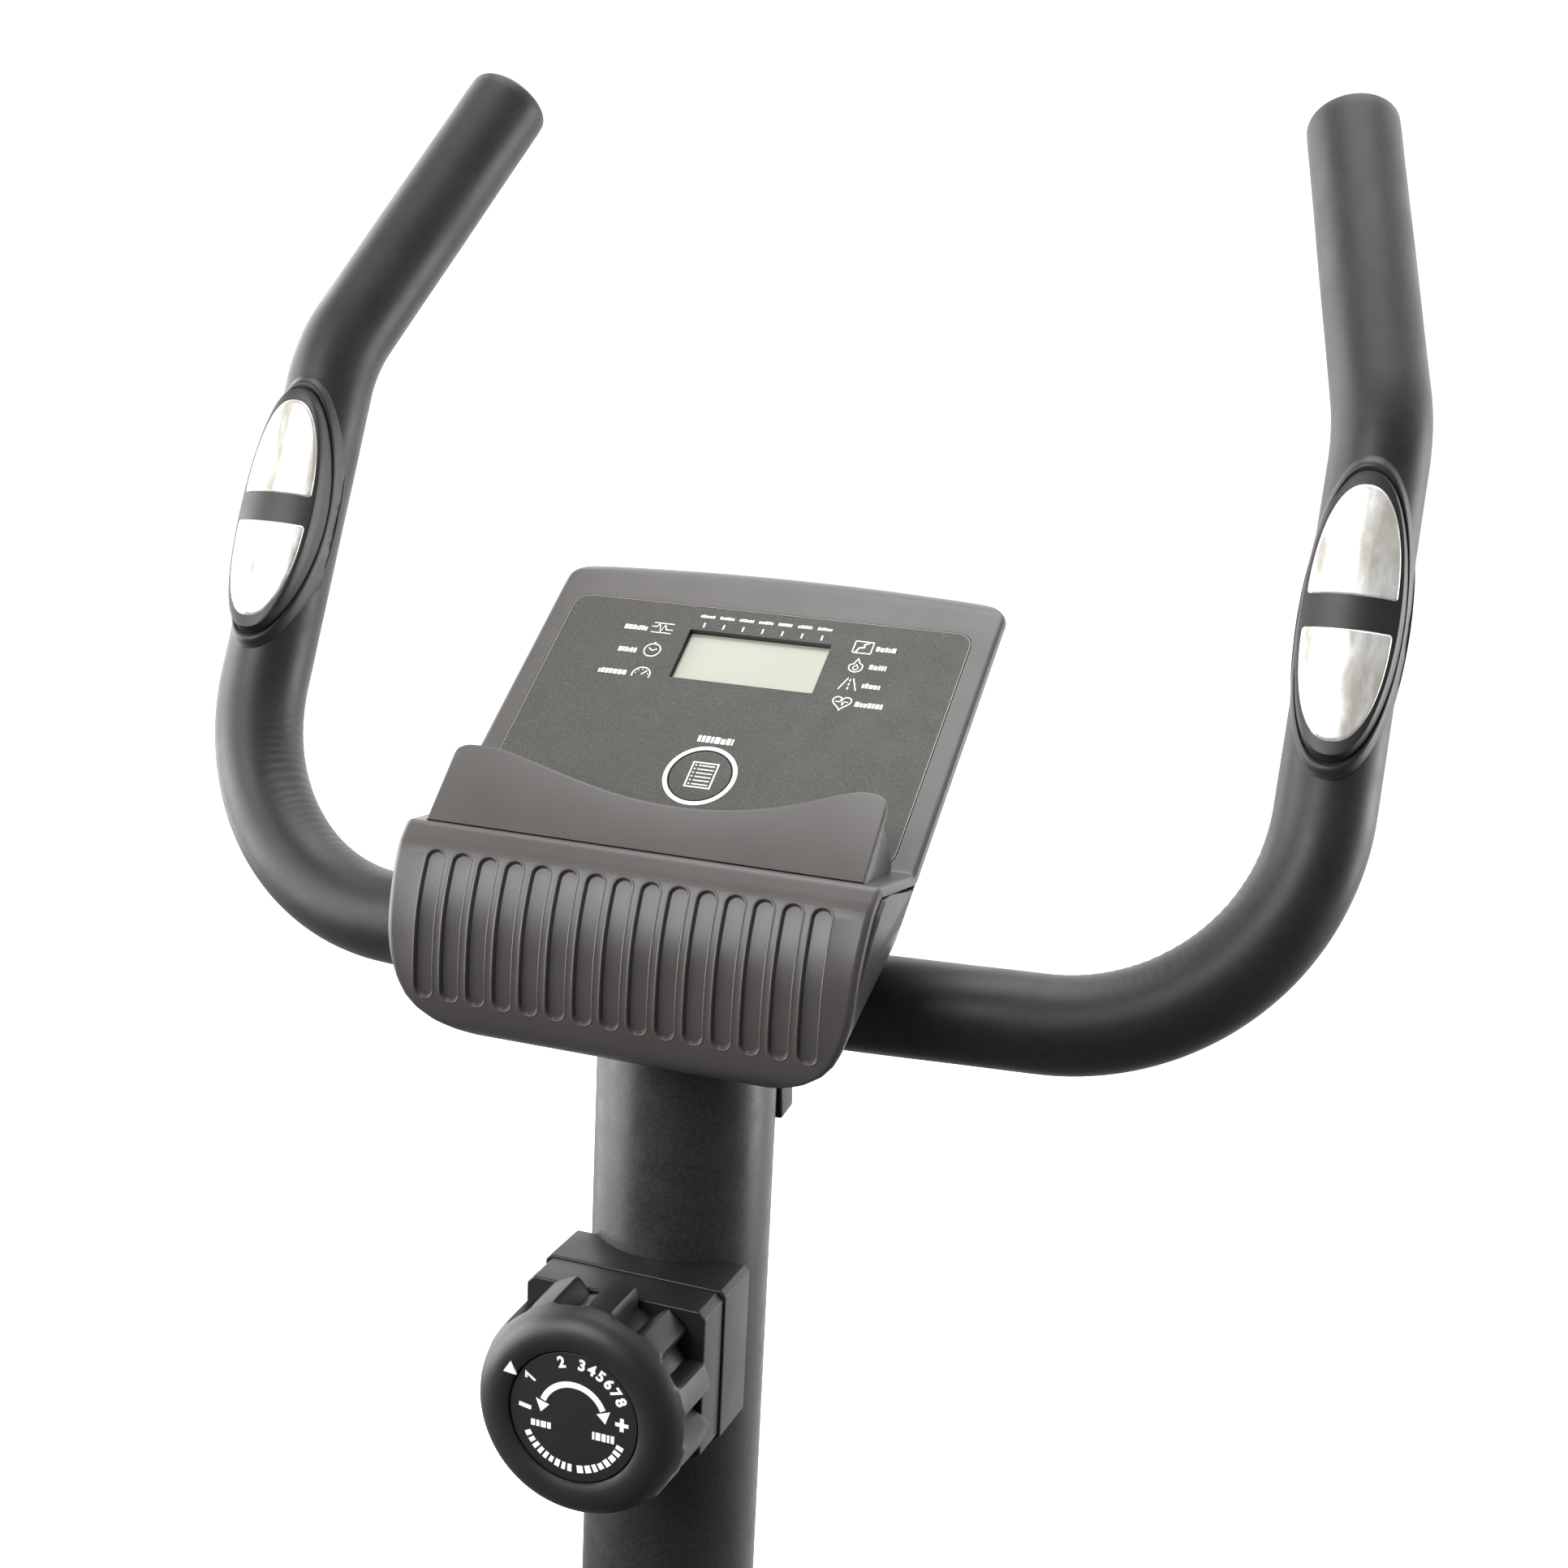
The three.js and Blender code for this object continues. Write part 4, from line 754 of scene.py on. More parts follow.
def console_shell():
    """The front case: rolled top, face, ledge and grooved apron in one moulding."""
    profile = front_profile()
    ridge_s = arc_where(profile, lambda p: p.x < RIDGE[0] and p.y > 75)
    first = arc_where(profile, lambda p: p.x < -40 and p.y < GROOVE_TOP_Z)
    last = arc_where(profile, lambda p: p.x < -40 and p.y < GROOVE_LOW_Z)
    face_end = arc_where(profile, lambda p: p.x < on_face(-24, 0).x)
    face_start = arc_where(profile, lambda p: p.x < on_face(76, 0).x)
    rows, s = [], 0.0
    while s < profile.at[-1]:
        rows.append(s)
        if min(abs(s - first - 1.6), abs(s - last + 1.6)) < 2.6:
            s += 0.14
        elif face_start < s < face_end - 4:
            s += 4
        elif first < s < last:
            s += 1.8
        else:
            s += 0.8
    rows.append(profile.at[-1])
    offsets = [0, 0.5, 0.95, 1.35, 1.7, 2.0, 2.25, 2.45, 2.6, 2.74, 2.88, 3.02, 3.15, 3.26, 3.37, 3.5,
               3.75]
    columns = sorted({round(g + side * o, 3) for g in GROOVES for o in offsets for side in (-1, 1)})
    rings = []
    for s in rows:
        point, normal = profile(s), profile.normal(s)
        half = half_width(point, s, ridge_s)
        flat = half - SHELL_EDGE
        squeeze = min(1.0, flat / 68.5)
        xs = [-flat] + [c * squeeze for c in columns] + [flat]
        crown = ease((in_face(point)[0] - 70) / 22) if s < ridge_s else 0.0
        ring = []
        for side, order in ((-1, range(5)), (1, range(4, -1, -1))):
            edge = [polar(SHELL_EDGE, k / 5 * math.pi / 2, (flat, -SHELL_EDGE)) for k in order]
            edge = [(side * x, off) for x, off in edge]
            if side < 0:
                ring += [(-half, -SHELL_THICK), *edge]
                ring += [(x, -groove_depth(x, s, first, last)) for x in xs]
            else:
                ring += [*edge, (half, -SHELL_THICK)]
        ring += [(half * 0.4, -SHELL_THICK), (-half * 0.4, -SHELL_THICK)]
        points = []
        for x, off in ring:
            lift = 3.2 * crown * max(0.0, 1 - (x / 78) ** 2) - 0.6 * crown
            points.append((
                x,
                point.x + normal.x * off + lift * FACE_COS,
                point.y + normal.y * off + lift * FACE_SIN,
            ))
        rings.append(points)
    shell = loft(rings)
    cutters = [
        prism(rounded_rect(72.35, -26.3, 74.05, 6.8, 8), -0.9, 6),
        prism(rounded_rect(25.8, 40.1, 62.8, 0.5, 2), -20, 5),
        prism(circle(10.9, 64), -20, 5),
    ]
    return carved(shell, *[moved(c, FACE_IN_HEAD) for c in cutters])


REAR_LINE = [
    (84, -3.4), (85.5, -12), (78, -26), (-34, -26), (-42, -18), (-86.7, -11), (-79.9, -2),
    (-71.8, 5.7), (-63.9, 11.6), (-55.1, 15.8), (-49.6, 16.3), (-44, 12), (-30, -3.4),
]


def rear_case():
    """The rear case: a shallow tray whose cheeks run down beside the apron."""
    outline = [tuple(p) for p in fillet(REAR_LINE, [0.5, 3, 5, 5, 4, 1.2, 1, 3, 3, 2, 1, 1, 0.5], 5)]
    stations = [79.7, 79.3, 78.9, 78, 77, 75.8, 74.4, 73, 71.6, 70, 60, 30]
    rings = []
    for x in [-s for s in stations] + stations[::-1]:
        gap = 80.2 - abs(x)
        back = -26 * min(1.0, gap / 9.4) ** 0.72
        highest = 84.5 - 1.3 * max(0.0, abs(x) - 68)
        lowest = 0.8 * back - 78.3
        edge = 0.7 * max(0.0, (abs(x) - 78.9) / 0.8) ** 2
        ring = []
        for v, w in outline:
            y, z = on_face(max(lowest, min(v, highest)), max(w, back) - edge)
            ring.append((x * (1 - 0.055 * ease((-50 - v) / 38)), y, z))
        rings.append(ring)
    return loft(rings)


LIP_TOP = [
    (-72.6, 25.4), (-71.5, 27.2), (-69.6, 28.4), (-67, 28.9), (-59.3, 28.9), (-50, 27.1),
    (-31.3, 22.2), (-13.2, 18.3), (3.7, 16.7), (19.2, 17.3), (32.1, 19.5), (44.1, 23.1),
    (55.7, 28.1), (62.8, 30.3), (67.4, 30.4), (70.4, 29.4), (72.1, 27.3), (72.6, 25.4),
]


def holder_lip():
    """The lip that holds a book or tablet: a wave-topped plate in front of the face."""
    knots = spline(LIP_TOP, 5)
    along = Vector((25.7, 3.7)).normalized()
    across = Vector((-along.y, along.x))
    foot = Vector((-46.2, 18.9))
    rings = []
    for u, height in knots:
        end = min(abs(u + 72.6), abs(72.6 - u))
        edge = 0.8 * (1 - min(1.0, end / 0.8)) ** 2
        top = foot + along * (height - edge)
        wall = min(top.x - 0.6, -25.6)
        section = [
            foot - across * edge, top - along - across * edge, top - across * (0.3 + edge),
            top - across * 1.5, top - along * 0.6 - across * 2.2,
            Vector((wall, (top - across * 2.2).y - 0.4)), Vector((wall - 0.4, 3.0)),
            Vector((wall - 1.6, 0.9)), Vector((-31.5, 4.2)), foot + Vector((5.4, -5.6)),
        ]
        rings.append([(u, *on_face(p.x, p.y)) for p in section])
    return loft(rings)


def ribbon(line, width, low=0.0, high=0.08, closed=False):
    """A printed stroke: a thin flat band along a 2D line."""
    pts = [Vector((p[0], p[1])) for p in line]
    rings = []
    count = len(pts)
    for i, p in enumerate(pts):
        a = pts[i - 1] if (closed or i) else p
        b = pts[(i + 1) % count] if (closed or i < count - 1) else p
        d0 = (p - a).normalized() if (p - a).length > 1e-6 else (b - p).normalized()
        d1 = (b - p).normalized() if (b - p).length > 1e-6 else d0
        n = Vector((-(d0 + d1).y, (d0 + d1).x))
        n = n.normalized() / max(0.5, math.cos(d0.angle(d1) / 2)) * width / 2
        rings.append([(p.x - n.x, p.y - n.y, low), (p.x + n.x, p.y + n.y, low),
                      (p.x + n.x, p.y + n.y, high), (p.x - n.x, p.y - n.y, high)])
    return loft(rings, loop=closed)


def bars(left, right, middle, height, draw, low=0.0, high=0.08):
    """A row of small blocks where the real panel has a printed word."""
    shapes, x = [], left
    while x < right - 0.3:
        width = min(draw.uniform(0.55, 1.35) * height / 1.9, right - x)
        tall = height * draw.choice((1.0, 1.0, 0.82))
        outline = rounded_rect(width / 2, middle - height / 2, middle - height / 2 + tall, 0.12, 1)
        shapes.append(shifted(prism(outline, low, high), x + width / 2))
        x += width + 0.28 * height / 1.9
    return merge(*shapes)


def icon_wave():
    zigzag = [(-4, 0.4), (-2.2, 0.4), (-1.4, 1.9), (-0.3, -1.8), (0.7, 1.6), (1.6, -0.6), (4, -0.6)]
    rules = [ribbon([(-3.6, y), (3.8, y)], 0.35) for y in (2.2, -2.2)]
    return merge(ribbon(zigzag, 0.4), *rules)


def icon_clock():
    rim = ribbon(circle(2.9, 28), 0.42, closed=True)
    hands = ribbon([(-1.5, 0.9), (0, -0.2), (1.6, 0.7)], 0.36)
    return merge(rim, hands, ribbon([(0, 2.9), (0, 3.7)], 0.6))


def icon_gauge():
    pivot = (0, -0.9)
    ticks = [ribbon(arc_line(2.3, a, a + 12, pivot, 2), 0.3) for a in (160, 124, 84, 44, 8)]
    return merge(ribbon(arc_line(3.2, 200, -20, pivot), 0.42), ribbon([pivot, (1.7, 1.0)], 0.42), *ticks)


def icon_map():
    path = spline([(-2, -2.2), (-1.2, -0.4), (0.4, 0.0), (0.2, 1.2), (1.8, 2.2)], 4)
    return merge(ribbon(rounded_rect(3.2, -2.6, 2.6, 0.4, 2), 0.4, closed=True), ribbon(path, 0.6))


def icon_flame():
    outer = spline([(0, 3.1), (1.0, 1.2), (2.2, 0.2), (2.0, -1.9), (0, -2.9), (-2.0, -1.9), (-2.2, 0.0),
                    (-1.0, 0.7), (-0.6, 2.0), (0, 3.1)], 4)[:-1]
    inner = spline([(0.1, 0.4), (0.9, -1.0), (0, -2.0), (-0.9, -1.1), (0.1, 0.4)], 4)[:-1]
    return merge(ribbon(outer, 0.42, closed=True), ribbon(inner, 0.36, closed=True))


def icon_road():
    edges = [ribbon([(side * 3.0, -2.6), (side * 0.9, 2.6)], 0.42) for side in (-1, 1)]
    return merge(*edges, *[ribbon([(0, a), (0, a + 1.0)], 0.5) for a in (-2.4, -0.6, 1.2)])


def icon_heart():
    line = []
    for k in range(40):
        t = TAU * k / 40
        height = 13 * math.cos(t) - 5 * math.cos(2 * t) - 2 * math.cos(3 * t) - math.cos(4 * t)
        line.append((3.2 * math.sin(t) ** 3, 0.2 * height))
    pulse = [(-2.2, 0.2), (-0.9, 0.2), (-0.3, 1.4), (0.4, -1.3), (0.9, 0.3), (2.2, 0.3)]
    return merge(ribbon(line, 0.42, closed=True), ribbon(pulse, 0.36))


def panel_print():
    """White print on the panel: ticks, icons and plain blocks, with no words."""
    draw = random.Random(11)
    parts = []
    for k in range(7):
        u = -21.3 + 7.1 * k
        parts.append(ribbon([(u, 63.9), (u, 66.1)], 0.55))
        parts.append(bars(u - 2.6, u + 2.6, 69.1, 1.35, draw))
    left_rows = (
        (icon_wave, 61.6, -49.3, -40.9), (icon_clock, 51.1, -47.8, -40.9), (icon_gauge, 40.6, -51.2, -41),
    )
    for icon, v, left, right in left_rows:
        parts.append(shifted(icon(), -35.6, v))
        parts.append(bars(left, right, v - 0.9, 2.1, draw))
    right_rows = (
        (icon_map, 62.8, 48.2), (icon_flame, 54.5, 47), (icon_road, 46.1, 47.8), (icon_heart, 37.8, 50.6),
    )
    for icon, v, right in right_rows:
        parts.append(shifted(icon(), 36.6, v))
        parts.append(bars(41.2, right, v, 2.1, draw))
    parts.append(bars(-6.0, 6.4, 15.3, 2.7, draw))
    parts.append(lathe([(10.9, 0), (12.35, 0), (12.35, 0.08), (10.9, 0.08), (10.9, 0)], 96))
    return merge(*parts)


def button_print():
    parts = [ribbon([(-4.3, -5.1), (4.3, -5.1), (4.3, 5.1), (-4.3, 5.1)], 0.5, closed=True)]
    for k in range(6):
        v = 3.9 - 1.56 * k
        parts.append(ribbon([(-2.2, v), (3.4, v)], 0.42))
        parts.append(shifted(prism(circle(0.32, 10), 0, 0.08), -3.2, v))
    return merge(*parts)


def build_console():
    """Cases, lip, film, prints, display, button, battery door, screws and vents."""
    build("console_shell", console_shell(), HEAD, "frame", "case_plastic", ["console_front"], sharp=28)
    build("console_rear_case", rear_case(), HEAD, "frame", "case_plastic", ["console_rear"], sharp=25)
    build("holder_lip", holder_lip(), HEAD, "frame", "case_plastic", ["shelf_lip"], sharp=30)
    sheet = prism(rounded_rect(72, -26, 73.7, 6.5, 8), -0.85, 0.02, 0.18, 2, 0)
    holes = [prism(rounded_rect(25.6, 40.2, 62.6, 0.5, 2), -5, 5), prism(circle(10.7, 72), -5, 5)]
    build("panel_film", carved(sheet, *holes), FACE, "frame", "overlay_film", ["console_overlay"])
    # A thin light ring round the film: a painted highlight along its edge.
    rim = ribbon(rounded_rect(71.9, -25.9, 73.6, 6.4, 8), 0.3, -0.3, 0.09, closed=True)
    build("panel_film_edge", rim, FACE, "frame", "overlay_film", look=FILM_EDGE_PAINTED_HIGHLIGHT)
    build("panel_print", shifted(panel_print(), z=0.02), FACE, "frame", "overlay_film", look=WHITE_PRINT_WITH_PAINTED_GLOW)
    glass = prism(rounded_rect(25.4, 40.4, 62.4, 0.3, 1), -6.8, -1.9, 0.2, 2)
    build("lcd_window", glass, FACE, "frame", "display_glass", ["lcd_module"])
    button = lathe(turned([(0, -5.4), (10.4, -5.4), (10.4, 0.05), (0, 0.05)], 0.35), 72)
    build("mode_key", button, FACE, "mode_button", "overlay_film", ["mode_button"])
    build("mode_key_print", shifted(button_print(), 0.5, 0.2, 0.05), FACE, "mode_button", "overlay_film",
          look=WHITE_PRINT_WITH_PAINTED_GLOW)
    ribs = [box((46, 0.9, 0.7), (0, 66 - 2.6 * k, -29), 0.25, 1) for k in range(4)]
    door = merge(prism(rounded_rect(29, 26.2, 73.8, 3, 4), -28.6, -26.3, 0.7), *ribs)
    build("battery_lid", door, FACE, "battery_door", "case_plastic", ["battery_door"])
    screws = [screw(u, v, -25.6, 3.2, (0, 0, -1)) for u in (-58, 58) for v in (70, -24)]
    build("case_screws", merge(*screws), FACE, "frame", "crank_steel")
    # The speaker slots are near-black blocks: painted shade where the openings are.
    vents = [box((22, 1.6, 1.0), (0, 4 - 4.2 * k, -26.2), 0.4, 1) for k in range(5)]
    build("speaker_slots", merge(*vents), FACE, "frame", "case_plastic", look=SLOT_SHADE_AND_SCALE_PRINT)


# ---- handlebar -------------------------------------------------------------------------
def bar_point(start, end, distance):
    """A point of the bar's line, a distance from one corner towards the next."""
    a, b = Vector(start), Vector(end)
    return a + (b - a).normalized() * distance


def grip_shape():
    """Right foam grip. The foam creases on the inside of the lower bend."""
    start = bar_point(BAR_MIDDLE, BAR_LOWER, GRIP_START - BAR_MIDDLE[0])
    lower = Vector(BAR_LOWER)
    line = bent_path([start, lower, BAR_UPPER, BAR_TIP], BAR_BENDS, 0.6, 6)
    before = (lower - start).normalized()
    after = (Vector(BAR_UPPER) - lower).normalized()
    inward = (after - before).normalized()
    bend_centre = lower + inward * BAR_BENDS[0] / math.cos(before.angle(after) / 2)
    length = [0.0]
    for a, b in zip(line, line[1:]):
        length.append(length[-1] + (b - a).length)
    apex = bend_centre - inward * BAR_BENDS[0]
    bend_middle = min(range(len(line)), key=lambda i: (line[i] - apex).length)
    sides = 64
    rings = []
    frames = frames_along(line, (0, 0, 1))
    for i, (p, side, up) in enumerate(frames):
        reach = length[i] - length[bend_middle]
        zone = math.exp(-(reach / 44) ** 4)
        to_centre = (bend_centre - p).normalized()
        ring = []
        for k in range(sides):
            a = TAU * k / sides
            d = side * math.cos(a) + up * math.sin(a)
            inside = max(0.0, d.dot(to_centre))
            crease = math.sin(reach * 1.55 + 1.3 * math.sin(reach * 0.21) + 2.0 * d.cross(to_centre).length)
            fade = 0.55 + 0.45 * noise.noise(p * 0.09 + d * 1.4)
            depth = -0.34 * zone * inside ** 3 * (0.5 + 0.5 * crease) * fade
            swell = 0.12 * noise.noise(p * 0.03)
            ring.append(p + d * (GRIP_RADIUS + depth + swell))
        rings.append(ring)
    tip, side, up = frames[-1]
    ahead = (line[-1] - line[-2]).normalized()
    rings.pop()
    round_off = 3.4
    end = []
    for k in range(1, 7):
        a = k / 6 * math.pi / 2
        end.append((GRIP_RADIUS - round_off * (1 - math.cos(a)), round_off * (1 - math.sin(a))))
    end += [(8, 0.05), (3.2, 0.05), (2.6, 0.8), (1.2, 2.4)]
    rings += [hoop(tip - ahead * sink, side, up, r, sides) for r, sink in end]
    return loft(rings)


def dome(outline, top, base, rings):
    """A closed pad over a 2D outline: top(x, t) and base(x) are heights, t is 1 at the edge."""
    centre = sum((Vector((p[0], p[1])) for p in outline), Vector((0, 0))) / len(outline)
    out = []
    for k in range(rings + 1):
        t = (k / rings) ** 0.7 if k else 0.004
        ring = []
        for p in outline:
            x, y = centre.lerp(Vector((p[0], p[1])), t)
            ring.append((x, y, top(x, t)))
        out.append(ring)
    out.append([(p[0], p[1], base(p[0])) for p in outline])
    return loft(out)


def squared(value, power=0.86):
    """Fills out a cosine a little, so that an oval has fuller sides."""
    return math.copysign(abs(value) ** power, value)


def pod_shapes():
    """The pulse pod's bezel and its two plates, along Y with Z towards the rider."""
    half_wide, half_long, flange, crown_radius, crown_height = 17.6, 52, 17.9, 34, 20.6
    gap, plate_half, plate_long = 5.4, 13.7, 35.6

    def crown(x):
        return math.sqrt(crown_radius ** 2 - x * x) - crown_radius + crown_height

    def bezel_top(x, t):
        radius = flange - 1.5 * ease((t - 0.94) / 0.06)
        low = math.sqrt(max(radius ** 2 - x * x, 9))
        groove = 1.2 * max(0, 1 - abs(t - 0.905) / 0.016)
        return low - groove + (crown(x) - low) * ease((0.9 - t) / 0.035)

    def plate_top(x, t):
        return crown(x) + 0.5 - 0.4 * ease((t - 0.95) / 0.05) ** 2

    outline = [(half_wide * squared(c), half_long * s) for c, s in circle(1, 96)]
    bezel = dome(outline, bezel_top, lambda x: 2.0, 44)
    plates = []
    for side in (-1, 1):
        half = []
        for k in range(49):
            c, s = polar(1, math.pi * k / 48)
            half.append((plate_half * squared(c), side * (gap + plate_long * abs(s) ** 0.96)))
        half = [tuple(p) for p in fillet(half, [1.2] + [0] * 47 + [1.2], 4)]
        end, start = Vector(half[-1]), Vector(half[0])
        half += [tuple(end.lerp(start, k / 28)) for k in range(1, 28)]
        plates.append(dome(half, plate_top, lambda x: crown(x) - 0.4, 24))
    return bezel, plates


def build_handlebar():
    """The bent tube with its foam grips and pulse pods. The left half mirrors the right."""
    right = [BAR_MIDDLE, BAR_LOWER, BAR_UPPER, bar_point(BAR_TIP, BAR_UPPER, 5.3)]
    left = [Vector((-p[0], p[1], p[2])) for p in map(Vector, right)]
    corners = left[::-1] + [Vector(p) for p in right]
    bends = [BAR_BENDS[1], BAR_BENDS[0], 100, 100, BAR_BENDS[0], BAR_BENDS[1]]
    line = bent_path(corners, bends, 5, 20)
    build("bar_tube", tube(line, 12.6, 40), HEAD, "handlebar", "painted_frame", ["handlebar_tube"])
    grip = grip_shape()
    bezel, plates = pod_shapes()
    along = Vector(BAR_UPPER) - Vector(BAR_LOWER)
    tilt = math.degrees(math.atan2(along.z, along.y))
    for name, side in SIDES:
        build(f"foam_{name}", on_side(grip, side), HEAD, "handlebar", "grip_foam", [f"grip_{name}"], sharp=60)
        centre = bar_point(BAR_LOWER, BAR_UPPER, 135.2)
        pod = placed(HEAD, (side * centre.x, centre.y, centre.z), tilt)
        build(f"pod_{name}", bezel, pod, "handlebar", "trim_plastic", [f"pulse_pod_{name}"], sharp=50)
        for place, plate in zip(("lower", "upper"), plates):
            build(f"plate_{name}_{place}", plate, pod, "handlebar", "sensor_steel",
                  [f"pulse_plate_{name}_{place}"], sharp=50)


# ---- post, clamp and tension knob ------------------------------------------------------
def build_post():
    """The handlebar post with its cradle, the clamp cap over the bar, and the cable's tab."""
    bar_y, bar_z = BAR_MIDDLE[1:]
    bore = rod((-70, bar_y, bar_z), (70, bar_y, bar_z), 12.9, 0)
    tube_shape = moved(pipe((0, 0, -640), (0, 0, 7), 30, 28, 0.5, 96), POST_IN_HEAD)
    plug = moved(rod((0, 0, -3), (0, 0, 6.6), 28.4, 0.6, 72), POST_IN_HEAD)
    cradle = carved(box((48, 40, 15), (0, bar_y, 12.3), 2), bore)
    build("post_tube", tube_shape, HEAD, "frame", "painted_frame", ["handlebar_post"])
    build("bar_cradle", merge(plug, cradle), HEAD, "frame", "painted_frame")
    cap = carved(box((48, 40, 17), (0, bar_y, 29.6), 2), bore)
    build("clamp_cap", cap, HEAD, "frame", "painted_frame", ["bar_clamp"])
    bolts = [hex_head(x, y, 38, 8, 4) for x in (-17, 17) for y in (-14, 15.8)]
    build("clamp_bolts", merge(*bolts), HEAD, "frame", "crank_steel")
    tab = box((3.6, 11, 12), (28.2, 13.0, -24.2), 1.0)
    build("wire_tab", tab, HEAD, "frame", "trim_plastic")


LOBES = 11
# Each row is a radius, a height and the depth of the flutes there.
KNOB_ROWS = [
    (21.9, -3.4, 0), (21.9, -0.2, 0), (22.3, 0.45, 0), (23.4, 0.95, 0), (25.2, 1.3, 0), (27.1, 1.2, 0),
    (29.0, 0.7, 0), (30.8, -0.3, 0), (32.3, -1.6, 0), (33.4, -3.1, 0), (34.2, -4.7, 0), (34.7, -5.8, 0.1),
    (35.0, -6.4, 0.8), (35.1, -7.0, 2.4), (35.2, -7.8, 4.1), (35.3, -8.8, 5.3), (35.4, -11, 6.0),
    (35.6, -17, 6.1), (35.8, -23.6, 6.2), (35.6, -25.0, 6.1), (35.0, -25.7, 5.8), (26, -25.8, 0),
    (26, -10, 0),
]


def flute(angle):
    """0 on a lobe's flat, 1 on a flute's floor."""
    t = (angle / TAU * LOBES) % 1.0
    distance = abs(t - 0.5) * 2
    return min(1.0, max(0.0, (distance - 0.42) / 0.26))


def fluted(rows, cut, sides):
    """A turned body whose rows are (radius, height, depth of the flutes)."""
    rings = []
    for radius, height, depth in rows:
        angles = [TAU * i / sides for i in range(sides)]
        rings.append([(*polar(radius - depth * cut(a), a), height) for a in angles])
    return loft(rings)


def knob_shape():
    return fluted(KNOB_ROWS, flute, LOBES * 26)


def digit(text, size, x, y, turn):
    """A number, made from Blender's own font."""
    curve = bpy.data.curves.new("digit", "FONT")
    curve.body = text
    curve.size = size
    curve.align_x = "CENTER"
    curve.align_y = "CENTER"
    curve.extrude = 0.04
    curve.offset = 0.2
    curve.resolution_u = 5
    obj = bpy.data.objects.new("digit", curve)
    scene.collection.objects.link(obj)
    shape = shape_of(obj)
    bpy.data.objects.remove(obj)
    bpy.data.curves.remove(curve)
    return moved(shape, Matrix.Translation((x, y, 0.04)) @ Matrix.Rotation(turn, 4, "Z"))


def dial_print():
    """The dial's numbers, signs and double arrow; words are replaced by plain blocks."""
    one = shifted(ribbon([(-1.1, 0.9), (0.3, 1.9), (0.3, -1.9)], 0.8), 0, 18.0)
    parts = [moved(one, Matrix.Rotation(math.radians(55), 4, "Z"))]
    for text, angle in zip("2345678", (104, 82, 71, 60.5, 50, 39.5, 29)):
        a = math.radians(angle)
        parts.append(digit(text, 5.0, 18.0 * math.cos(a), 18.1 * math.sin(a), a - math.pi / 2))
    minus = [(-18.4, 0.7), (-14.2, 0.0)]
    plus = [[(14.2, 1.3), (18.6, 1.3)], [(16.4, -0.9), (16.4, 3.5)]]
    parts += [ribbon(minus, 1.4), *[ribbon(stroke, 1.3) for stroke in plus]]
    arrow_radius, head_angle, head_half = 10.9, 0.34, 2.4
    parts.append(ribbon(arc_line(arrow_radius, 160, 24), 2.0))
    for angle, side in ((163, 1), (21, -1)):
        a = math.radians(angle)
        tip = polar(arrow_radius, a + side * head_angle)
        base = Vector(polar(arrow_radius, a))
        out = base.normalized() * head_half
        parts.append(prism([tuple(base + out), tip, tuple(base - out)], 0, 0.08))
    draw = random.Random(5)
    parts.append(bars(-14.2, -7.4, -4.4, 2.6, draw))
    parts.append(bars(6.6, 14.0, -4.4, 2.6, draw))
    angle = 207.0
    while angle < 335:
        width = draw.uniform(4.2, 7.0)
        parts.append(ribbon(arc_line(17.2, angle, angle + width, steps=4), 2.5 * draw.choice((1, 1, 0.85))))
        angle += width + (6 if 262 < angle < 270 else 2.4)
    return merge(*parts)


def build_knob():
    """The tension knob, its fixed dial in the middle, and its two-part housing."""
    build("knob_body", knob_shape(), KNOB, "tension_knob", "trim_plastic", ["tension_knob"], sharp=26)
    pointer = prism([(-23.2, 11.3), (-18.8, 10.9), (-20.7, 15.3)], 0.7, 1.42)
    build("knob_pointer", pointer, KNOB, "tension_knob", "trim_plastic", look=WHITE_PRINT_WITH_PAINTED_GLOW)
    label = turned([(0, -25.8), (7, -25.8), (7, -4), (21.45, -4), (21.45, -0.35), (0, -0.35)], 0.25)
    build("dial", lathe(label, 96), KNOB, "frame", "trim_plastic", ["knob_label"])
    build("dial_print", shifted(dial_print(), z=-0.34), KNOB, "frame", "trim_plastic", look=WHITE_PRINT_WITH_PAINTED_GLOW)
    post_room = rod((0, -90, -82.8), (0, 90, -82.8), 30.15, 0, 96)
    rear = prism(fillet(rounded_rect(31.6, -22, 30.4, 1.8, 1), 0.7, 2), -62.6, -41.6, 0.8, 3)
    front = prism(fillet(rounded_rect(30.8, -21.4, 29.8, 2.4, 1), 0.7, 2), -41.4, -26.6, 0.9, 3, 0.3)
    rear, front = shifted(rear, 1.2), shifted(front, 1.2)
    build("knob_base", carved(rear, post_room), KNOB, "frame", "trim_plastic", ["knob_housing"], sharp=25)
    build("knob_base_front", carved(front, post_room), KNOB, "frame", "trim_plastic", sharp=25)


# ---- base ------------------------------------------------------------------------------
STABILISER_Y, STABILISER_Z = 432, 38
BEAM_HALF, BEAM_LOW, BEAM_HIGH = 25, 60, 110
CAP_INNER = 172
TO_Y = Matrix(((1, 0, 0, 0), (0, 0, 1, 0), (0, 1, 0, 0), (0, 0, 0, 1)))


def weld(line, radius=2.2):
    """A weld bead along a closed line."""
    points = [Vector(p) for p in line]
    rings = []
    count = len(points)
    for i, p in enumerate(points):
        ahead = (points[(i + 1) % count] - points[i - 1]).normalized()
        side = ahead.cross(Vector((0, 0, 1))).normalized()
        up = side.cross(ahead)
        r = radius * (1 + 0.16 * math.sin(i * 1.9))
        rings.append(hoop(p, side, up, r, 10))
    return loft(rings, loop=True)


def bar_along_x(x0, x1, y, z, radius, sides=72):
    """A plain rod across the bike, mostly to cut room for a round part."""
    return rod((x0, y, z), (x1, y, z), radius, 0, sides)


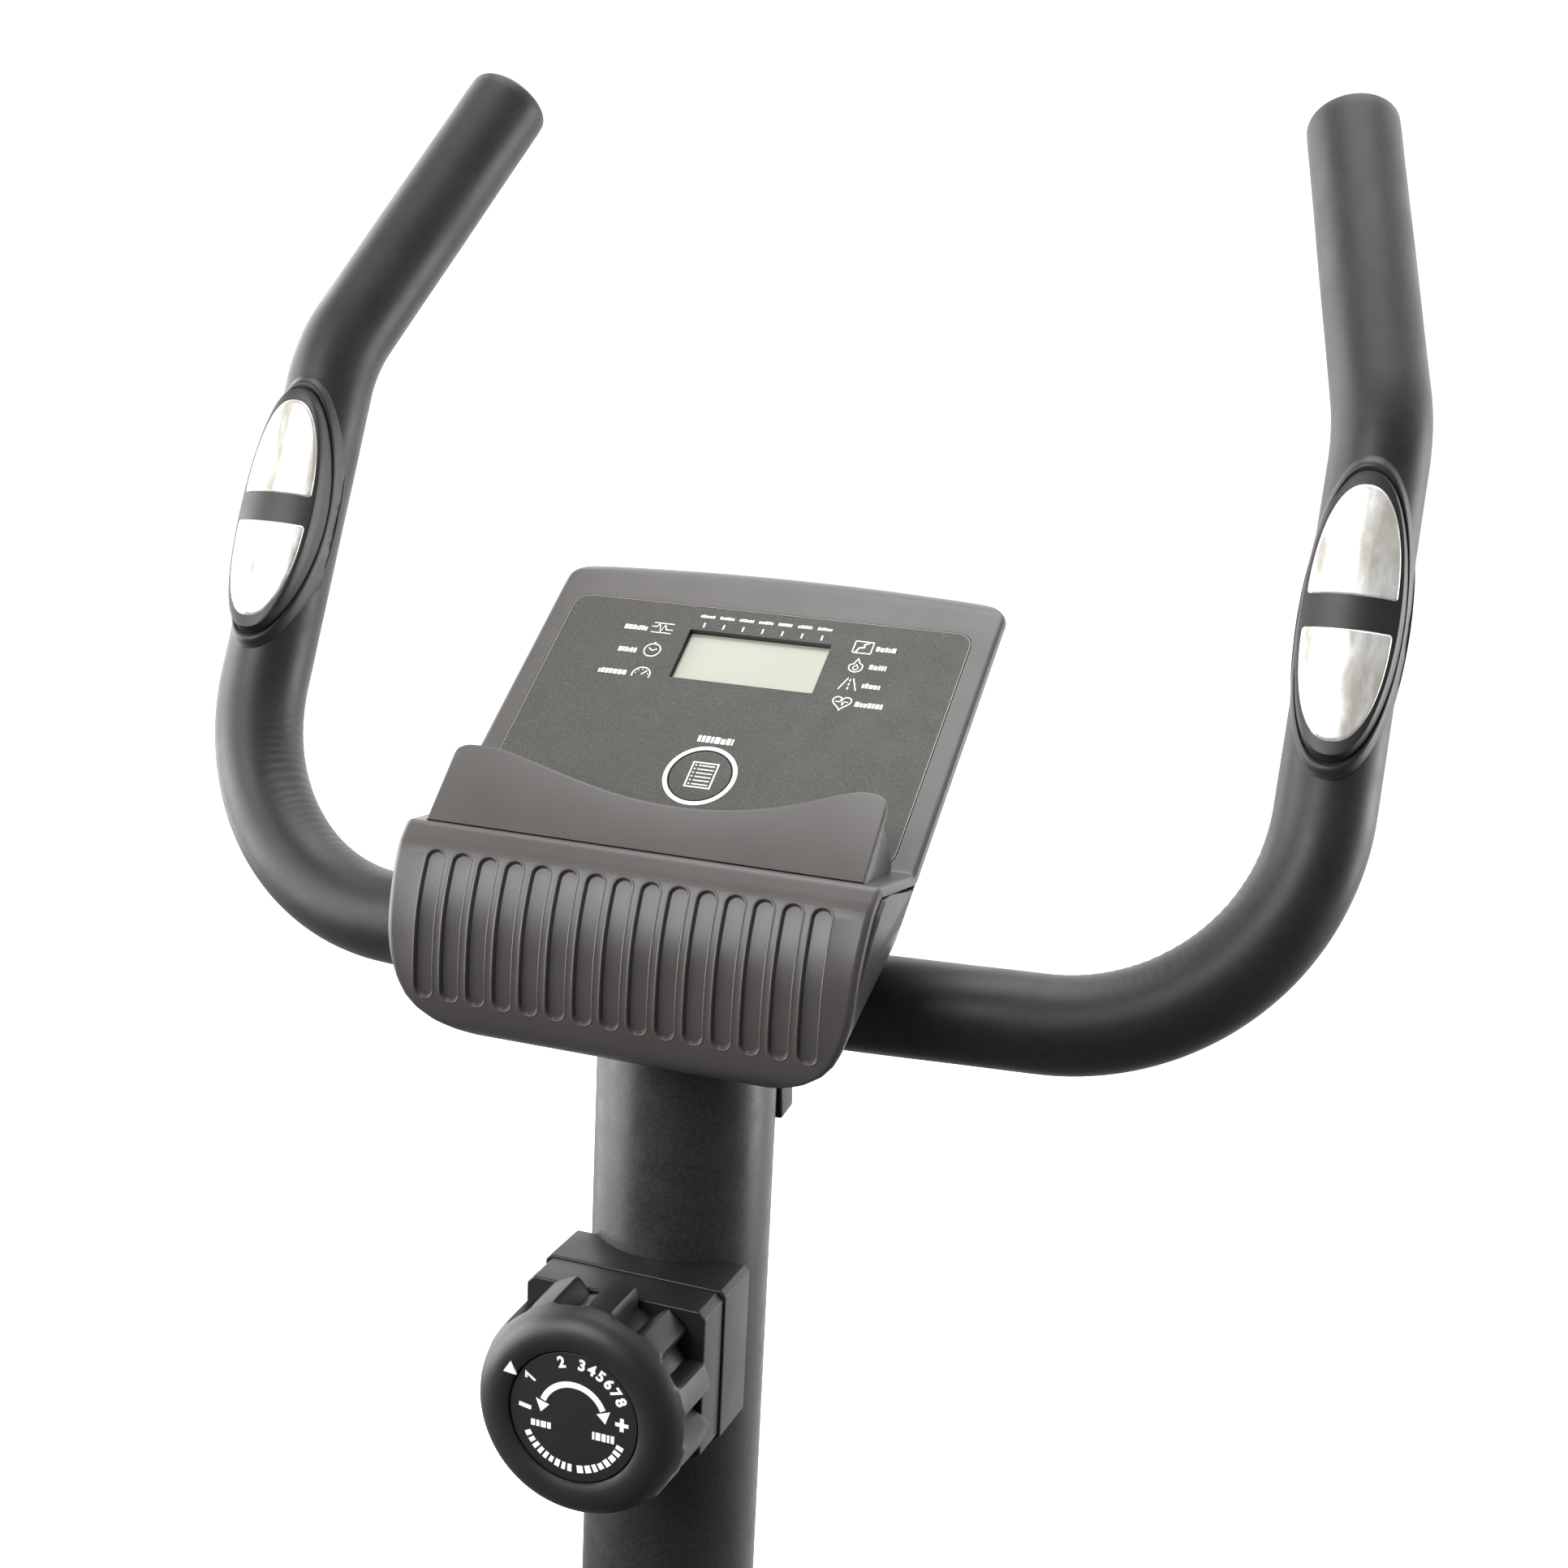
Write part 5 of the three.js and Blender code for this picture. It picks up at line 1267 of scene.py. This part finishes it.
def build_base():
    """The beam, the two stabiliser tubes, and their plugs, bolts and saddle plates."""
    copes = [bar_along_x(-60, 60, end * STABILISER_Y, STABILISER_Z, 30.3) for end in (-1, 1)]
    outer = rounded_rect(BEAM_HALF, BEAM_LOW, BEAM_HIGH, 8, 6)
    inner = rounded_rect(BEAM_HALF - 2, BEAM_LOW + 2, BEAM_HIGH - 2, 6, 4)
    body = moved(prism(outer, -456, 456, 0.4, 1), TO_Y)
    hollow = moved(prism(inner, -470, 470), TO_Y)
    build("beam", carved(body, hollow, *copes), BIKE, "frame", "painted_frame", ["base_beam"])
    for end, side in (("front", 1), ("rear", -1)):
        y, z = side * STABILISER_Y, STABILISER_Z
        tube_shape = pipe((-204, y, z), (204, y, z), 30, 28.5, 0.5, 72)
        build(f"{end}_tube", tube_shape, BIKE, "frame", "painted_frame", [f"{end}_stabiliser"])
        plug = prism(rounded_rect(24.6, 74, 109.6, 7.6, 4), side * 440, side * 459, 1.2, 3, 1.2)
        build(f"{end}_beam_plug", moved(plug, TO_Y), BIKE, "frame", "trim_plastic")
        bolts = [hex_head(0, y + offset, BEAM_HIGH, 13, 7) for offset in (-14, 14)]
        build(f"{end}_beam_bolts", merge(*bolts), BIKE, "frame", "crank_steel")
        saddle = carved(box((62, 44, 10), (0, y, 62), 2), *copes)
        build(f"{end}_saddle_plate", saddle, BIKE, "frame", "painted_frame")


def build_front_cap(name, side):
    """The front stabiliser's end cap, with its foot, and the transport wheel in its slot."""
    y, z = STABILISER_Y, STABILISER_Z
    wheel_y, wheel_z, wheel_x = 450, 33, side * 214
    profile = [(0, 32.4), (30.3, 32.4), (30.3, 0), (34, 0), (36, 8), (36, 68), (30, 78), (0, 78)]
    sleeve = lathe(turned(profile, 2.2, 3), 72, (side, 0, 0))
    sleeve = shifted(sleeve, side * CAP_INNER, y, z)
    foot = box((56, 34, 22), (wheel_x, y - 8, 11), 3)
    ear = lathe(turned([(0, 0), (12, 0), (12, 5.6), (0, 5.6)], 1.2), 40, (side, 0, 0))
    ears = [shifted(ear, side * x, wheel_y, wheel_z) for x in (206.8, 235.4)]
    pin = rod((side * 210, wheel_y, wheel_z), (side * 238, wheel_y, wheel_z), 5)
    room = bar_along_x(side * 213, side * 235, wheel_y, wheel_z, 26, 64)
    bore = bar_along_x(side * 171, side * 204.3, y, z, 30.3)
    ribs = [box((2, 3, 2.4), (side * (190 + 8 * k), y - 8, 22.6), 0.6, 1) for k in range(6)]
    shape = merge(carved(sleeve, room), carved(foot, room, bore), *ears, pin, *ribs)
    build(f"front_end_cap_{name}", shape, BIKE, "frame", "trim_plastic", [f"front_cap_{name}"], sharp=30)
    wheel = turned([
        (5.4, 0), (9, 0), (9, 3), (18, 3), (18, 0.4), (22, 0.4), (24, 3.4), (24, 16.6), (22, 19.6),
        (18, 19.6), (18, 17), (9, 17), (9, 20), (5.4, 20), (5.4, 0),
    ], 0.8, 3)
    shape = shifted(lathe(wheel, 64, (side, 0, 0)), wheel_x, wheel_y, wheel_z)
    build(f"roller_{name}", shape, BIKE, f"wheel_{name}", "nylon_grey", [f"transport_wheel_{name}"])


def build_rear_cap(name, side):
    """The rear stabiliser's levelling cap: a turned knob a little off the tube's middle."""
    y, z = -STABILISER_Y, 42
    profile = [(0, 0), (38.6, 0), (41, 3), (41, 60), (36, 74), (30, 78), (0, 78)]
    sleeve = shifted(lathe(turned(profile, 3, 4), 96, (side, 0, 0)), side * CAP_INNER, y, z)
    bore = bar_along_x(side * 171, side * 204.3, y, STABILISER_Z, 30.3)
    ribs = []
    for k in range(16):
        turn = Matrix.Rotation(TAU * (k + 0.5) / 16, 4, "X")
        rib = moved(box((40, 5.5, 2.4), (0, 0, 40.8), 1.1), turn)
        ribs.append(shifted(rib, side * (CAP_INNER + 30), y, z))
    shape = merge(carved(sleeve, bore), *ribs)
    build(f"levelling_end_{name}", shape, BIKE, f"level_{name}", "trim_plastic", [f"levelling_cap_{name}"])


# ---- frame tubes -----------------------------------------------------------------------
def axis_rod(place, low, high, radius, sides=72):
    """A plain rod along a leaning tube's own axis."""
    return moved(rod((0, 0, low), (0, 0, high), radius, 0, sides), place)


def foot_weld(foot, radius, lean, points):
    """The weld where a leaning round tube meets the top of the beam."""
    stretch = 1 / math.cos(math.radians(lean))
    return weld([foot + Vector((x, y * stretch, 0)) for x, y in circle(radius, points)])


def build_upright():
    """The front upright with the idler's bracket, its weld, collar and lock bolts."""
    low, high = -960, -556
    below = box((120, 320, 100), (0, 110, 60.3), 0)
    upright = moved(pipe((0, 0, low), (0, 0, high), 33.5, 30.3, 0.5, 96), POST_IN_BIKE)
    bracket = prism_x([(87, 202), (105, 202), (150, 262), (150, 290), (120, 290)], 52, 55, 0.5, 1)
    arm = carved(box((28, 26, 26), (41, 136, 276), 1), axis_rod(POST_IN_BIKE, low, high, 32))
    idler_axle = rod((36, 96, 211), (53, 96, 211), 4)
    shape = merge(carved(upright, below), bracket, arm, idler_axle)
    build("upright", shape, BIKE, "frame", "painted_frame", ["front_upright"])
    bead = foot_weld(POST_FOOT, 34.5, POST_LEAN, 72)
    build("upright_weld", bead, BIKE, "frame", "painted_frame")
    collar = turned([(33.8, 0), (40, 0), (41, 2), (41, 7.5), (38.5, 9), (33.8, 9), (33.8, 0)], 1, 3)
    shape = moved(shifted(lathe(collar, 96), z=-575), POST_IN_BIKE)
    build("collar", shape, BIKE, "frame", "trim_plastic", ["post_collar"])
    bolts = [hex_head(0, 33 * side, -562, 10, 5, (0, side, 0)) for side in (-1, 1)]
    build("post_lock_bolts", moved(merge(*bolts), POST_IN_BIKE), BIKE, "frame", "crank_steel")


def build_seat_mast():
    """The seat tube with the pull pin's boss and the crank shell, and its weld."""
    seat_pipe = moved(pipe((0, 0, -60), (0, 0, 468), 25, 22.3, 0.5, 80), SEAT_IN_BIKE)
    below = box((120, 320, 100), (0, -110, 60.3), 0)
    boss = turned([(6, 20), (11.5, 20), (10, 37), (6, 37), (6, 20)], 0.8, 2)
    boss = moved(shifted(lathe(boss, 40, (0, -1, 0)), z=PIN_HEIGHT), SEAT_IN_BIKE)
    shell = pipe((-34, *CRANK), (34, *CRANK), 22, 17, 0.5, 48)
    tube_shape = carved(seat_pipe, below, bar_along_x(-40, 40, *CRANK, 17, 48))
    build("seat_mast", merge(tube_shape, boss, shell), BIKE, "frame", "painted_frame", ["seat_tube"])
    bead = foot_weld(SEAT_FOOT, 26, SEAT_LEAN, 64)
    build("seat_mast_weld", bead, BIKE, "frame", "painted_frame")


# ---- covers ----------------------------------------------------------------------------
def cover_line(crank_radius, flywheel_radius, steps=40):
    """The covers' outline: a round end about the crank, one about the flywheel, and two tangents."""
    apart = Vector(FLYWHEEL) - Vector(CRANK)
    line = math.degrees(math.atan2(apart.y, apart.x))
    opening = math.degrees(math.acos((crank_radius - flywheel_radius) / apart.length))
    return (arc_line(crank_radius, line + opening, line + 360 - opening, CRANK, steps)
            + arc_line(flywheel_radius, line - opening, line + opening, FLYWHEEL, steps))


def slot_cutter(y, low, high, half, x0, x1):
    """Room for one upright slot of the grille, with round ends."""
    line = arc_line(half, 0, 180, (y, high - half), 10) + arc_line(half, 180, 360, (y, low + half), 10)
    return prism_x(line, x0, x1)


def build_covers():
    """One cover as a hollow shell with its grille, crank disc and screws, then both sides."""
    whole = moved(prism(cover_line(146, 142), 0.15, 69, 16, 8, 0.6), TO_X)
    inner = moved(prism(cover_line(143.2, 139.2), -1, 66.2, 14.5, 5, 0), TO_X)
    holes = [
        axis_rod(POST_IN_BIKE, -960, -500, 34.6),
        axis_rod(SEAT_IN_BIKE, -60, 480, 26.2),
        bar_along_x(-5, 90, *CRANK, 24, 64),
    ]
    slots, grille_radius, pitch = [], 92, 15
    for k in range(-4, 5):
        reach = math.sqrt(grille_radius ** 2 - (pitch * k) ** 2)
        y, z = FLYWHEEL
        slots.append(slot_cutter(y + pitch * k, z - reach, z + reach, 3.6, 60, 75))
    ring = lathe([(56, 67.9), (58, 67.9), (58, 75), (56, 75), (56, 67.9)], 96, (1, 0, 0))
    ring = shifted(ring, 0, *CRANK)
    shape = carved(carved(whole, inner, *holes), ring, *slots)
    disc = turned([(24.5, 64), (50, 64), (50, 69.6), (44, 70.8), (30, 71.4), (24.5, 71.4), (24.5, 64)], 1, 3)
    disc = shifted(lathe(disc, 96, (1, 0, 0)), 0, *CRANK)
    corners = [polar(128, math.radians(a), CRANK) for a in (120, 240)]
    corners += [polar(124, math.radians(a), FLYWHEEL) for a in (-60, 60)]
    screws = merge(*[screw(67.6, y, z, 4.2, (1, 0, 0)) for y, z in corners])
    for name, side in SIDES:
        half, plate, fixings = [on_side(s, side) for s in (shape, disc, screws)]
        build(f"cover_{name}", half, BIKE, "frame", "cover_plastic", [f"side_cover_{name}"], sharp=32)
        build(f"crank_disc_{name}", plate, BIKE, "frame", "trim_plastic")
        build(f"cover_screws_{name}", fixings, BIKE, "frame", "crank_steel")


# ---- cranks and pedals -----------------------------------------------------------------
def build_crank_arm(name, side):
    """One crank with its cap and pedal axle, drawn along Y and turned to its angle."""
    angle = CRANK_ANGLE if side > 0 else CRANK_ANGLE + 180
    place = placed(BIKE, (0, *CRANK), angle)
    line = arc_line(17, 62, 298, steps=30) + arc_line(13, -80, 80, (CRANK_LENGTH, 0), 24)
    arm = prism_x(line, 76.2, 88.8, 3.2, 4)
    hollow = prism_x(fillet([(30, -5.2), (140, -4.4), (140, 4.4), (30, 5.2)], 4.2, 6), 87.4, 92, 0)
    bore = rod((70, 0, 0), (86.3, 0, 0), 8.8, 0)
    arm = carved(arm, hollow, bore)
    cap = turned([(0, 0), (10.5, 0), (10.5, 1.4), (6, 2.6), (0, 2.6)], 0.6)
    cap = shifted(lathe(cap, 48, (1, 0, 0)), 88.4)
    collar = rod((88, CRANK_LENGTH, 0), (97, CRANK_LENGTH, 0), 9.5, 1)
    axle = rod((90, CRANK_LENGTH, 0), (PEDAL_X + 40, CRANK_LENGTH, 0), 6.5, 1)
    flats = box((4, 15, 15), (98.2, CRANK_LENGTH, 0), 0.6)
    shape = on_side(merge(arm, cap, collar, axle, flats), side)
    build(f"crank_{name}", shape, place, "crank", "crank_steel", [f"crank_arm_{name}"], sharp=30)
    build_pedal(name, side, placed(place, (side * PEDAL_X, CRANK_LENGTH, 0), -angle))


def pedal_shape():
    """The right pedal's body: an open cage with treads on both faces."""
    plan = rounded_rect(46, -40, 40, 9, 6)
    windows = [prism(rounded_rect(37, y - 8, y + 8, 3, 3), -30, 30) for y in (-24, 24)]
    bore = rod((-47, 0, 0), (40.5, 0, 0), 6.9, 0)
    body = carved(prism(plan, -12, 12, 2.6, 4, 2.6), bore, *windows)
    ribs = []
    for z in (-12.2, 12.2):
        for k in range(9):
            x = -38 + 9.5 * k
            ribs.append(box((2.4, 9, 2), (x, 0, z), 0.7, 1))
            ribs += [box((2.4, 4.6, 2), (x, y, z), 0.7, 1) for y in (-36, 36)]
    crossbars = [box((3.2, 17, 9), (x, y, 0), 0.8, 1) for x in (-18, 0, 18) for y in (-24, 24)]
    return merge(body, *ribs, *crossbars)


def strap_shape():
    """The strap over the right foot, its buckle and its holes."""
    reach, band, bend, lean, high = 49.2, 2.6, 22, 16, 74
    shoulder = reach - 12 - bend
    left, right = (-shoulder, high - bend), (shoulder, high - bend)
    inner = reach - band
    outside = [
        (-reach, 10), (-reach, lean), *arc_line(bend, 180, 90, left, 14),
        *arc_line(bend, 90, 0, right, 14), (reach, lean), (reach, -8),
    ]
    inside = [
        (inner, -8), (inner, lean), *arc_line(bend - band, 0, 90, right, 14),
        *arc_line(bend - band, 90, 180, left, 14), (-inner, lean), (-inner, 10),
    ]
    arch = moved(prism(outside + inside, -12, 12, 0.7, 2, 0.7), Matrix.Rotation(math.pi / 2, 4, "X"))
    holes = [rod((30, 0, 28 + 9 * k), (60, 0, 28 + 9 * k), 2.6, 0, 20) for k in range(3)]
    pad = box((44, 30, 3), (0, 0, 73.4), 1.2)
    buckle = box((3, 29, 9), (48.6, 0, 4), 1.2)
    return merge(carved(arch, *holes), pad, buckle)


def build_pedal(name, side, place):
    reflectors = merge(*[box((48, 2.2, 11), (0, y, 0), 1) for y in (-40.6, 40.6)])
    body, strap, reflector = [on_side(s, side) for s in (pedal_shape(), strap_shape(), reflectors)]
    build(f"tread_{name}", body, place, f"pedal_{name}", "trim_plastic", [f"pedal_{name}"])
    build(f"foot_strap_{name}", strap, place, f"pedal_{name}", "rubber_black", [f"pedal_strap_{name}"])
    build(f"reflector_{name}", reflector, place, f"pedal_{name}", "nylon_grey")


# ---- seat ------------------------------------------------------------------------------
def saddle_line(inset, steps=26):
    """The saddle's plan, drawn from three cubic curves a side and moved in by the inset."""
    length = 262
    rear = length * 0.36
    half, nose, front, back = 107 - inset, 33 - inset, length - rear - inset, inset - rear
    curves = [
        [(0, back), (half * 0.75, back), (half, -rear * 0.6), (half, -rear * 0.1)],
        [(half, -rear * 0.1), (half, rear * 0.55), (nose + 12, rear * 0.45), (nose + 3, rear * 1.15)],
        [(nose + 3, rear * 1.15), (nose, front - 22), (nose * 0.8, front), (0, front)],
    ]
    right = []
    for a, b, c, d in curves:
        for k in range(steps):
            t = k / steps
            right.append(tuple(
                a[i] * (1 - t) ** 3 + 3 * b[i] * t * (1 - t) ** 2 + 3 * c[i] * t * t * (1 - t) + d[i] * t ** 3
                for i in (0, 1)
            ))
    right.append((0, front))
    return right + [(-x, y) for x, y in reversed(right[1:-1])]


def saddle_shape():
    """The padded saddle: crowned, with a relief channel, a sewn side seam and a pulled-in skirt."""
    line = [Vector(p) for p in saddle_line(0)]
    spine_low, spine_high = -52.0, 120.0
    seam_at, seam_depth = 0.9, 1.5
    reaches = [
        0.004, 0.12, 0.24, 0.36, 0.48, 0.58, 0.67, 0.74, 0.79, 0.83, 0.86, 0.885, seam_at, 0.915, 0.94,
        0.96, 0.98, 1.0,
    ]
    rings = []
    for t in reaches:
        seam = -seam_depth if t == seam_at else 0
        ring = []
        for p in line:
            centre = Vector((0, min(max(p.y, spine_low), spine_high)))
            q = centre.lerp(p, t)
            crown = 1 - t ** 4.2
            height = 58 + 29 * max(0.0, crown) ** 0.62
            height += 3.5 * ease((-q.y - 10) / 70) - 3.0 * math.exp(-((q.y - 30) / 38) ** 2)
            height -= 7 * ease((q.y - 110) / 58) * (0.4 + 0.6 * t)
            channel = ease((q.y + 84) / 40) * ease((128 - q.y) / 40)
            height -= 5.5 * channel * math.exp(-(q.x / 11) ** 2)
            height += 0.7 * noise.noise(Vector((q.x, q.y, 0)) * 0.035)
            ring.append((q.x, q.y, height + seam))
        rings.append(ring)
    centre = Vector((0, 20))
    for level, pull in ((54, 0.2), (49, 1.4), (44, 3.4), (40, 4.6), (37, 4.2), (35, 3.0), (34.2, 5.0)):
        ring = []
        for i, p in enumerate(line):
            inward = (centre - p).normalized() * pull
            pucker = 0.5 * math.sin(i * 0.9) * ease((50 - level) / 12)
            ring.append((p.x + inward.x, p.y + inward.y, level + pucker * 0.5))
        rings.append(ring)
    return loft(rings)


def wrapped(shape, radius, height):
    """A flat print bent round the right side of an upright tube."""
    verts = []
    for x, y, z in shape[0]:
        a = x / radius
        verts.append(Vector(((radius + z) * math.cos(a), (radius + z) * math.sin(a), height + y)))
    return verts, shape[1]


def pin_bore(height, sides=40):
    """Room for the pull pin, which comes in from behind."""
    return rod((0, 0, height), (0, -60, height), 5.2, 0, sides)


def build_seat_post():
    bush = turned(
        [(19.3, 330), (22, 330), (22, 468.3), (28, 468.3), (28, 480), (23, 484), (19.3, 484), (19.3, 330)],
        1, 3)
    bush = carved(lathe(bush, 72), pin_bore(PIN_HEIGHT))
    build("bush", bush, SEAT, "frame", "trim_plastic", ["seat_bush"])
    radius = 19
    post = pipe((0, 0, 215), (0, 0, SEAT_TOP), radius, 17, 0.5, 72)
    holes = [pin_bore(PIN_HEIGHT + HOLE_STEP * k, 32) for k in range(-4, 3)]
    build("seat_stem", carved(post, *holes), SEAT, "seat", "seat_post_steel", ["seat_post"])
    marks = []
    for k in range(5):
        z = 500 + HOLE_STEP * k
        marks.append(wrapped(box((7, 0.7, 0.1), (-2.5, 0, 0.05), 0.02, 1), radius + 0.02, z))
        marks.append(wrapped(digit(str(k + 1), 6, 5, 0, 0), radius + 0.02, z))
    build("stem_scale", merge(*marks), SEAT, "seat", "seat_post_steel", look=SLOT_SHADE_AND_SCALE_PRINT)
    rows = [(0, 0.2, 0), (4.4, 0.2, 0), (4.6, 1, 0), (4.6, 18.2, 0), (8.6, 18.2, 0), (9, 19, 0), (9, 22, 0),
            (13, 24.6, 0), (15, 26.6, 0.6), (15.8, 29, 1.6), (16, 35, 1.9), (15.8, 41, 1.6), (14, 45.4, 0.6),
            (10, 47.6, 0), (0, 48, 0)]
    knob = fluted(rows, lambda a: 0.5 - 0.5 * math.cos(8 * a), 96)
    knob = moved(knob, placed(HERE, (0, -19.4, PIN_HEIGHT), 90))
    build("pull_knob", knob, SEAT, "seat_pin", "trim_plastic", ["seat_pull_pin"])


def build_saddle():
    pad = build("saddle_pad", saddle_shape(), SADDLE, "seat", "saddle_vinyl", ["saddle"], sharp=70, smooth=1)
    pan = prism(saddle_line(11), 27.5, 34.2, 2.2, 3, 2.2)
    ribs = [box((3, 150, 5), (x, 18, 26.4), 1, 1) for x in (-22, 22)]
    build("seat_pan", merge(pan, *ribs), SADDLE, "seat", "trim_plastic", ["saddle_pan"])
    socket = pipe((0, 0, -40), (0, 0, 12), 23.5, 19.3, 1, 64)
    tilt = placed(HERE, (0, 0, 0), SEAT_LEAN)
    plate = box((74, 96, 5), (0, 0, 8.4), 1.6)
    ears = [box((5, 60, 22), (side * 30, 0, 16), 1.6) for side in (-1, 1)]
    through = rod((-36, 0, 17), (36, 0, 17), 4, 0.6)
    nuts = [hex_head(side * 32.5, 0, 17, 12, 6, (side, 0, 0)) for side in (-1, 1)]
    bolts = [hex_head(x, y, 5.8, 10, 5, (0, 0, -1)) for x in (-28, 28) for y in (-38, 38)]
    lock = hex_head(0, -23, -22, 11, 6, (0, -1, 0))
    body = merge(moved(socket, tilt), plate, *ears)
    build("clamp_body", body, SADDLE, "seat", "painted_frame", ["saddle_clamp"])
    fixings = merge(through, *nuts, *bolts, moved(lock, tilt))
    build("clamp_fixings", fixings, SADDLE, "seat", "crank_steel")


# ---- stage -----------------------------------------------------------------------------
def area_light(name, place, aim, size, power):
    """A round soft box, aimed at a point."""
    light = bpy.data.lights.new(name, "AREA")
    light.shape = "DISK"
    light.size = size
    light.energy = power
    obj = bpy.data.objects.new(name, light)
    obj.location = place
    obj.rotation_euler = (Vector(aim) - Vector(place)).to_track_quat("-Z", "Y").to_euler()
    scene.collection.objects.link(obj)


def build_world():
    """The light of a white wall behind the bike and a dim room in front of it."""
    world = bpy.data.worlds.new("studio")
    world.use_nodes = True
    nodes, links = world.node_tree.nodes, world.node_tree.links
    direction = nodes.new("ShaderNodeTexCoord")
    towards_wall = nodes.new("ShaderNodeVectorMath")
    towards_wall.operation = "DOT_PRODUCT"
    towards_wall.inputs[1].default_value = (0, 0.94, 0.34)
    links.new(direction.outputs["Generated"], towards_wall.inputs[0])
    height = nodes.new("ShaderNodeMapRange")
    height.inputs["From Min"].default_value = -1
    links.new(towards_wall.outputs["Value"], height.inputs["Value"])
    ramp = nodes.new("ShaderNodeValToRGB")
    links.new(height.outputs["Result"], ramp.inputs["Fac"])
    fill_ramp(ramp, [(0.0, 0.12), (0.36, 0.16), (0.55, 0.32), (0.72, 0.9), (0.86, 1.7), (1.0, 1.9)])
    links.new(ramp.outputs["Color"], nodes["Background"].inputs["Color"])
    nodes["Background"].inputs["Strength"].default_value = 1.0
    scene.world = world


def backdrop(name, shape, glow):
    """Part of the studio: it is seen, and takes shadows, but throws no light on the bike."""
    look = Look(name, "f4f4f4", 0.6, specular=0.2)
    look.colors(look.noise(900, 2), [(0.3, "f2f2f2"), (0.7, "f7f7f7")])
    look.set("Emission Color", linear("ffffff"))
    look.set("Emission Strength", glow)
    mesh = bpy.data.meshes.new(name)
    mesh.from_pydata(shape[0], [], shape[1])
    mesh.materials.append(look.material)
    obj = bpy.data.objects.new(name, mesh)
    scene.collection.objects.link(obj)
    obj.visible_diffuse = False
    obj.visible_glossy = False
    return obj


def build_stage():
    """Floor, wall and lights."""
    sides = 64
    floor = [(x, y, -0.0005) for x, y in circle(70.0, sides)]
    backdrop("floor", (floor, [tuple(range(sides))]), 0.6)
    wall = [(x, y, z) for z in (-1.0, 60.0) for x, y in circle(69.0, sides)]
    panels = [(i, (i + 1) % sides, sides + (i + 1) % sides, sides + i) for i in range(sides)]
    backdrop("wall", (wall, panels), 1.0).visible_shadow = False
    area_light("front", (-0.9, -1.9, 2.9), (0, 0.2, 1.1), 1.8, 54)
    area_light("key", (-2.6, -0.8, 1.5), (0, 0.15, 1.0), 2.4, 80)
    area_light("top", (0.0, 0.9, 3.3), (0, 0.25, 1.0), 2.0, 30)
    area_light("rim_right", (2.5, 1.7, 0.9), (0, 0.2, 1.0), 1.6, 42)
    area_light("rim_left", (-2.6, 0.8, 1.3), (0, 0.2, 1.0), 3.2, 72)
    build_world()
    scene.view_settings.view_transform = "Standard"


def build_camera():
    """The rider's view of the console, from above and a little to the right."""
    camera = bpy.data.cameras.new("camera")
    camera.sensor_width = 36
    camera.lens = 51.166
    camera.clip_start = 0.01
    obj = bpy.data.objects.new("camera", camera)
    obj.location = (0.260303, -0.367496, 1.369220)
    obj.rotation_euler = (math.radians(90 - 20.874), 0, math.radians(20.524))
    scene.collection.objects.link(obj)
    scene.camera = obj


build_console()
build_handlebar()
build_post()
build_knob()
build_base()
for side_name, side_sign in SIDES:
    build_front_cap(side_name, side_sign)
    build_rear_cap(side_name, side_sign)
    build_crank_arm(side_name, side_sign)
build_upright()
build_seat_mast()
build_covers()
build_seat_post()
build_saddle()
build_stage()
build_camera()
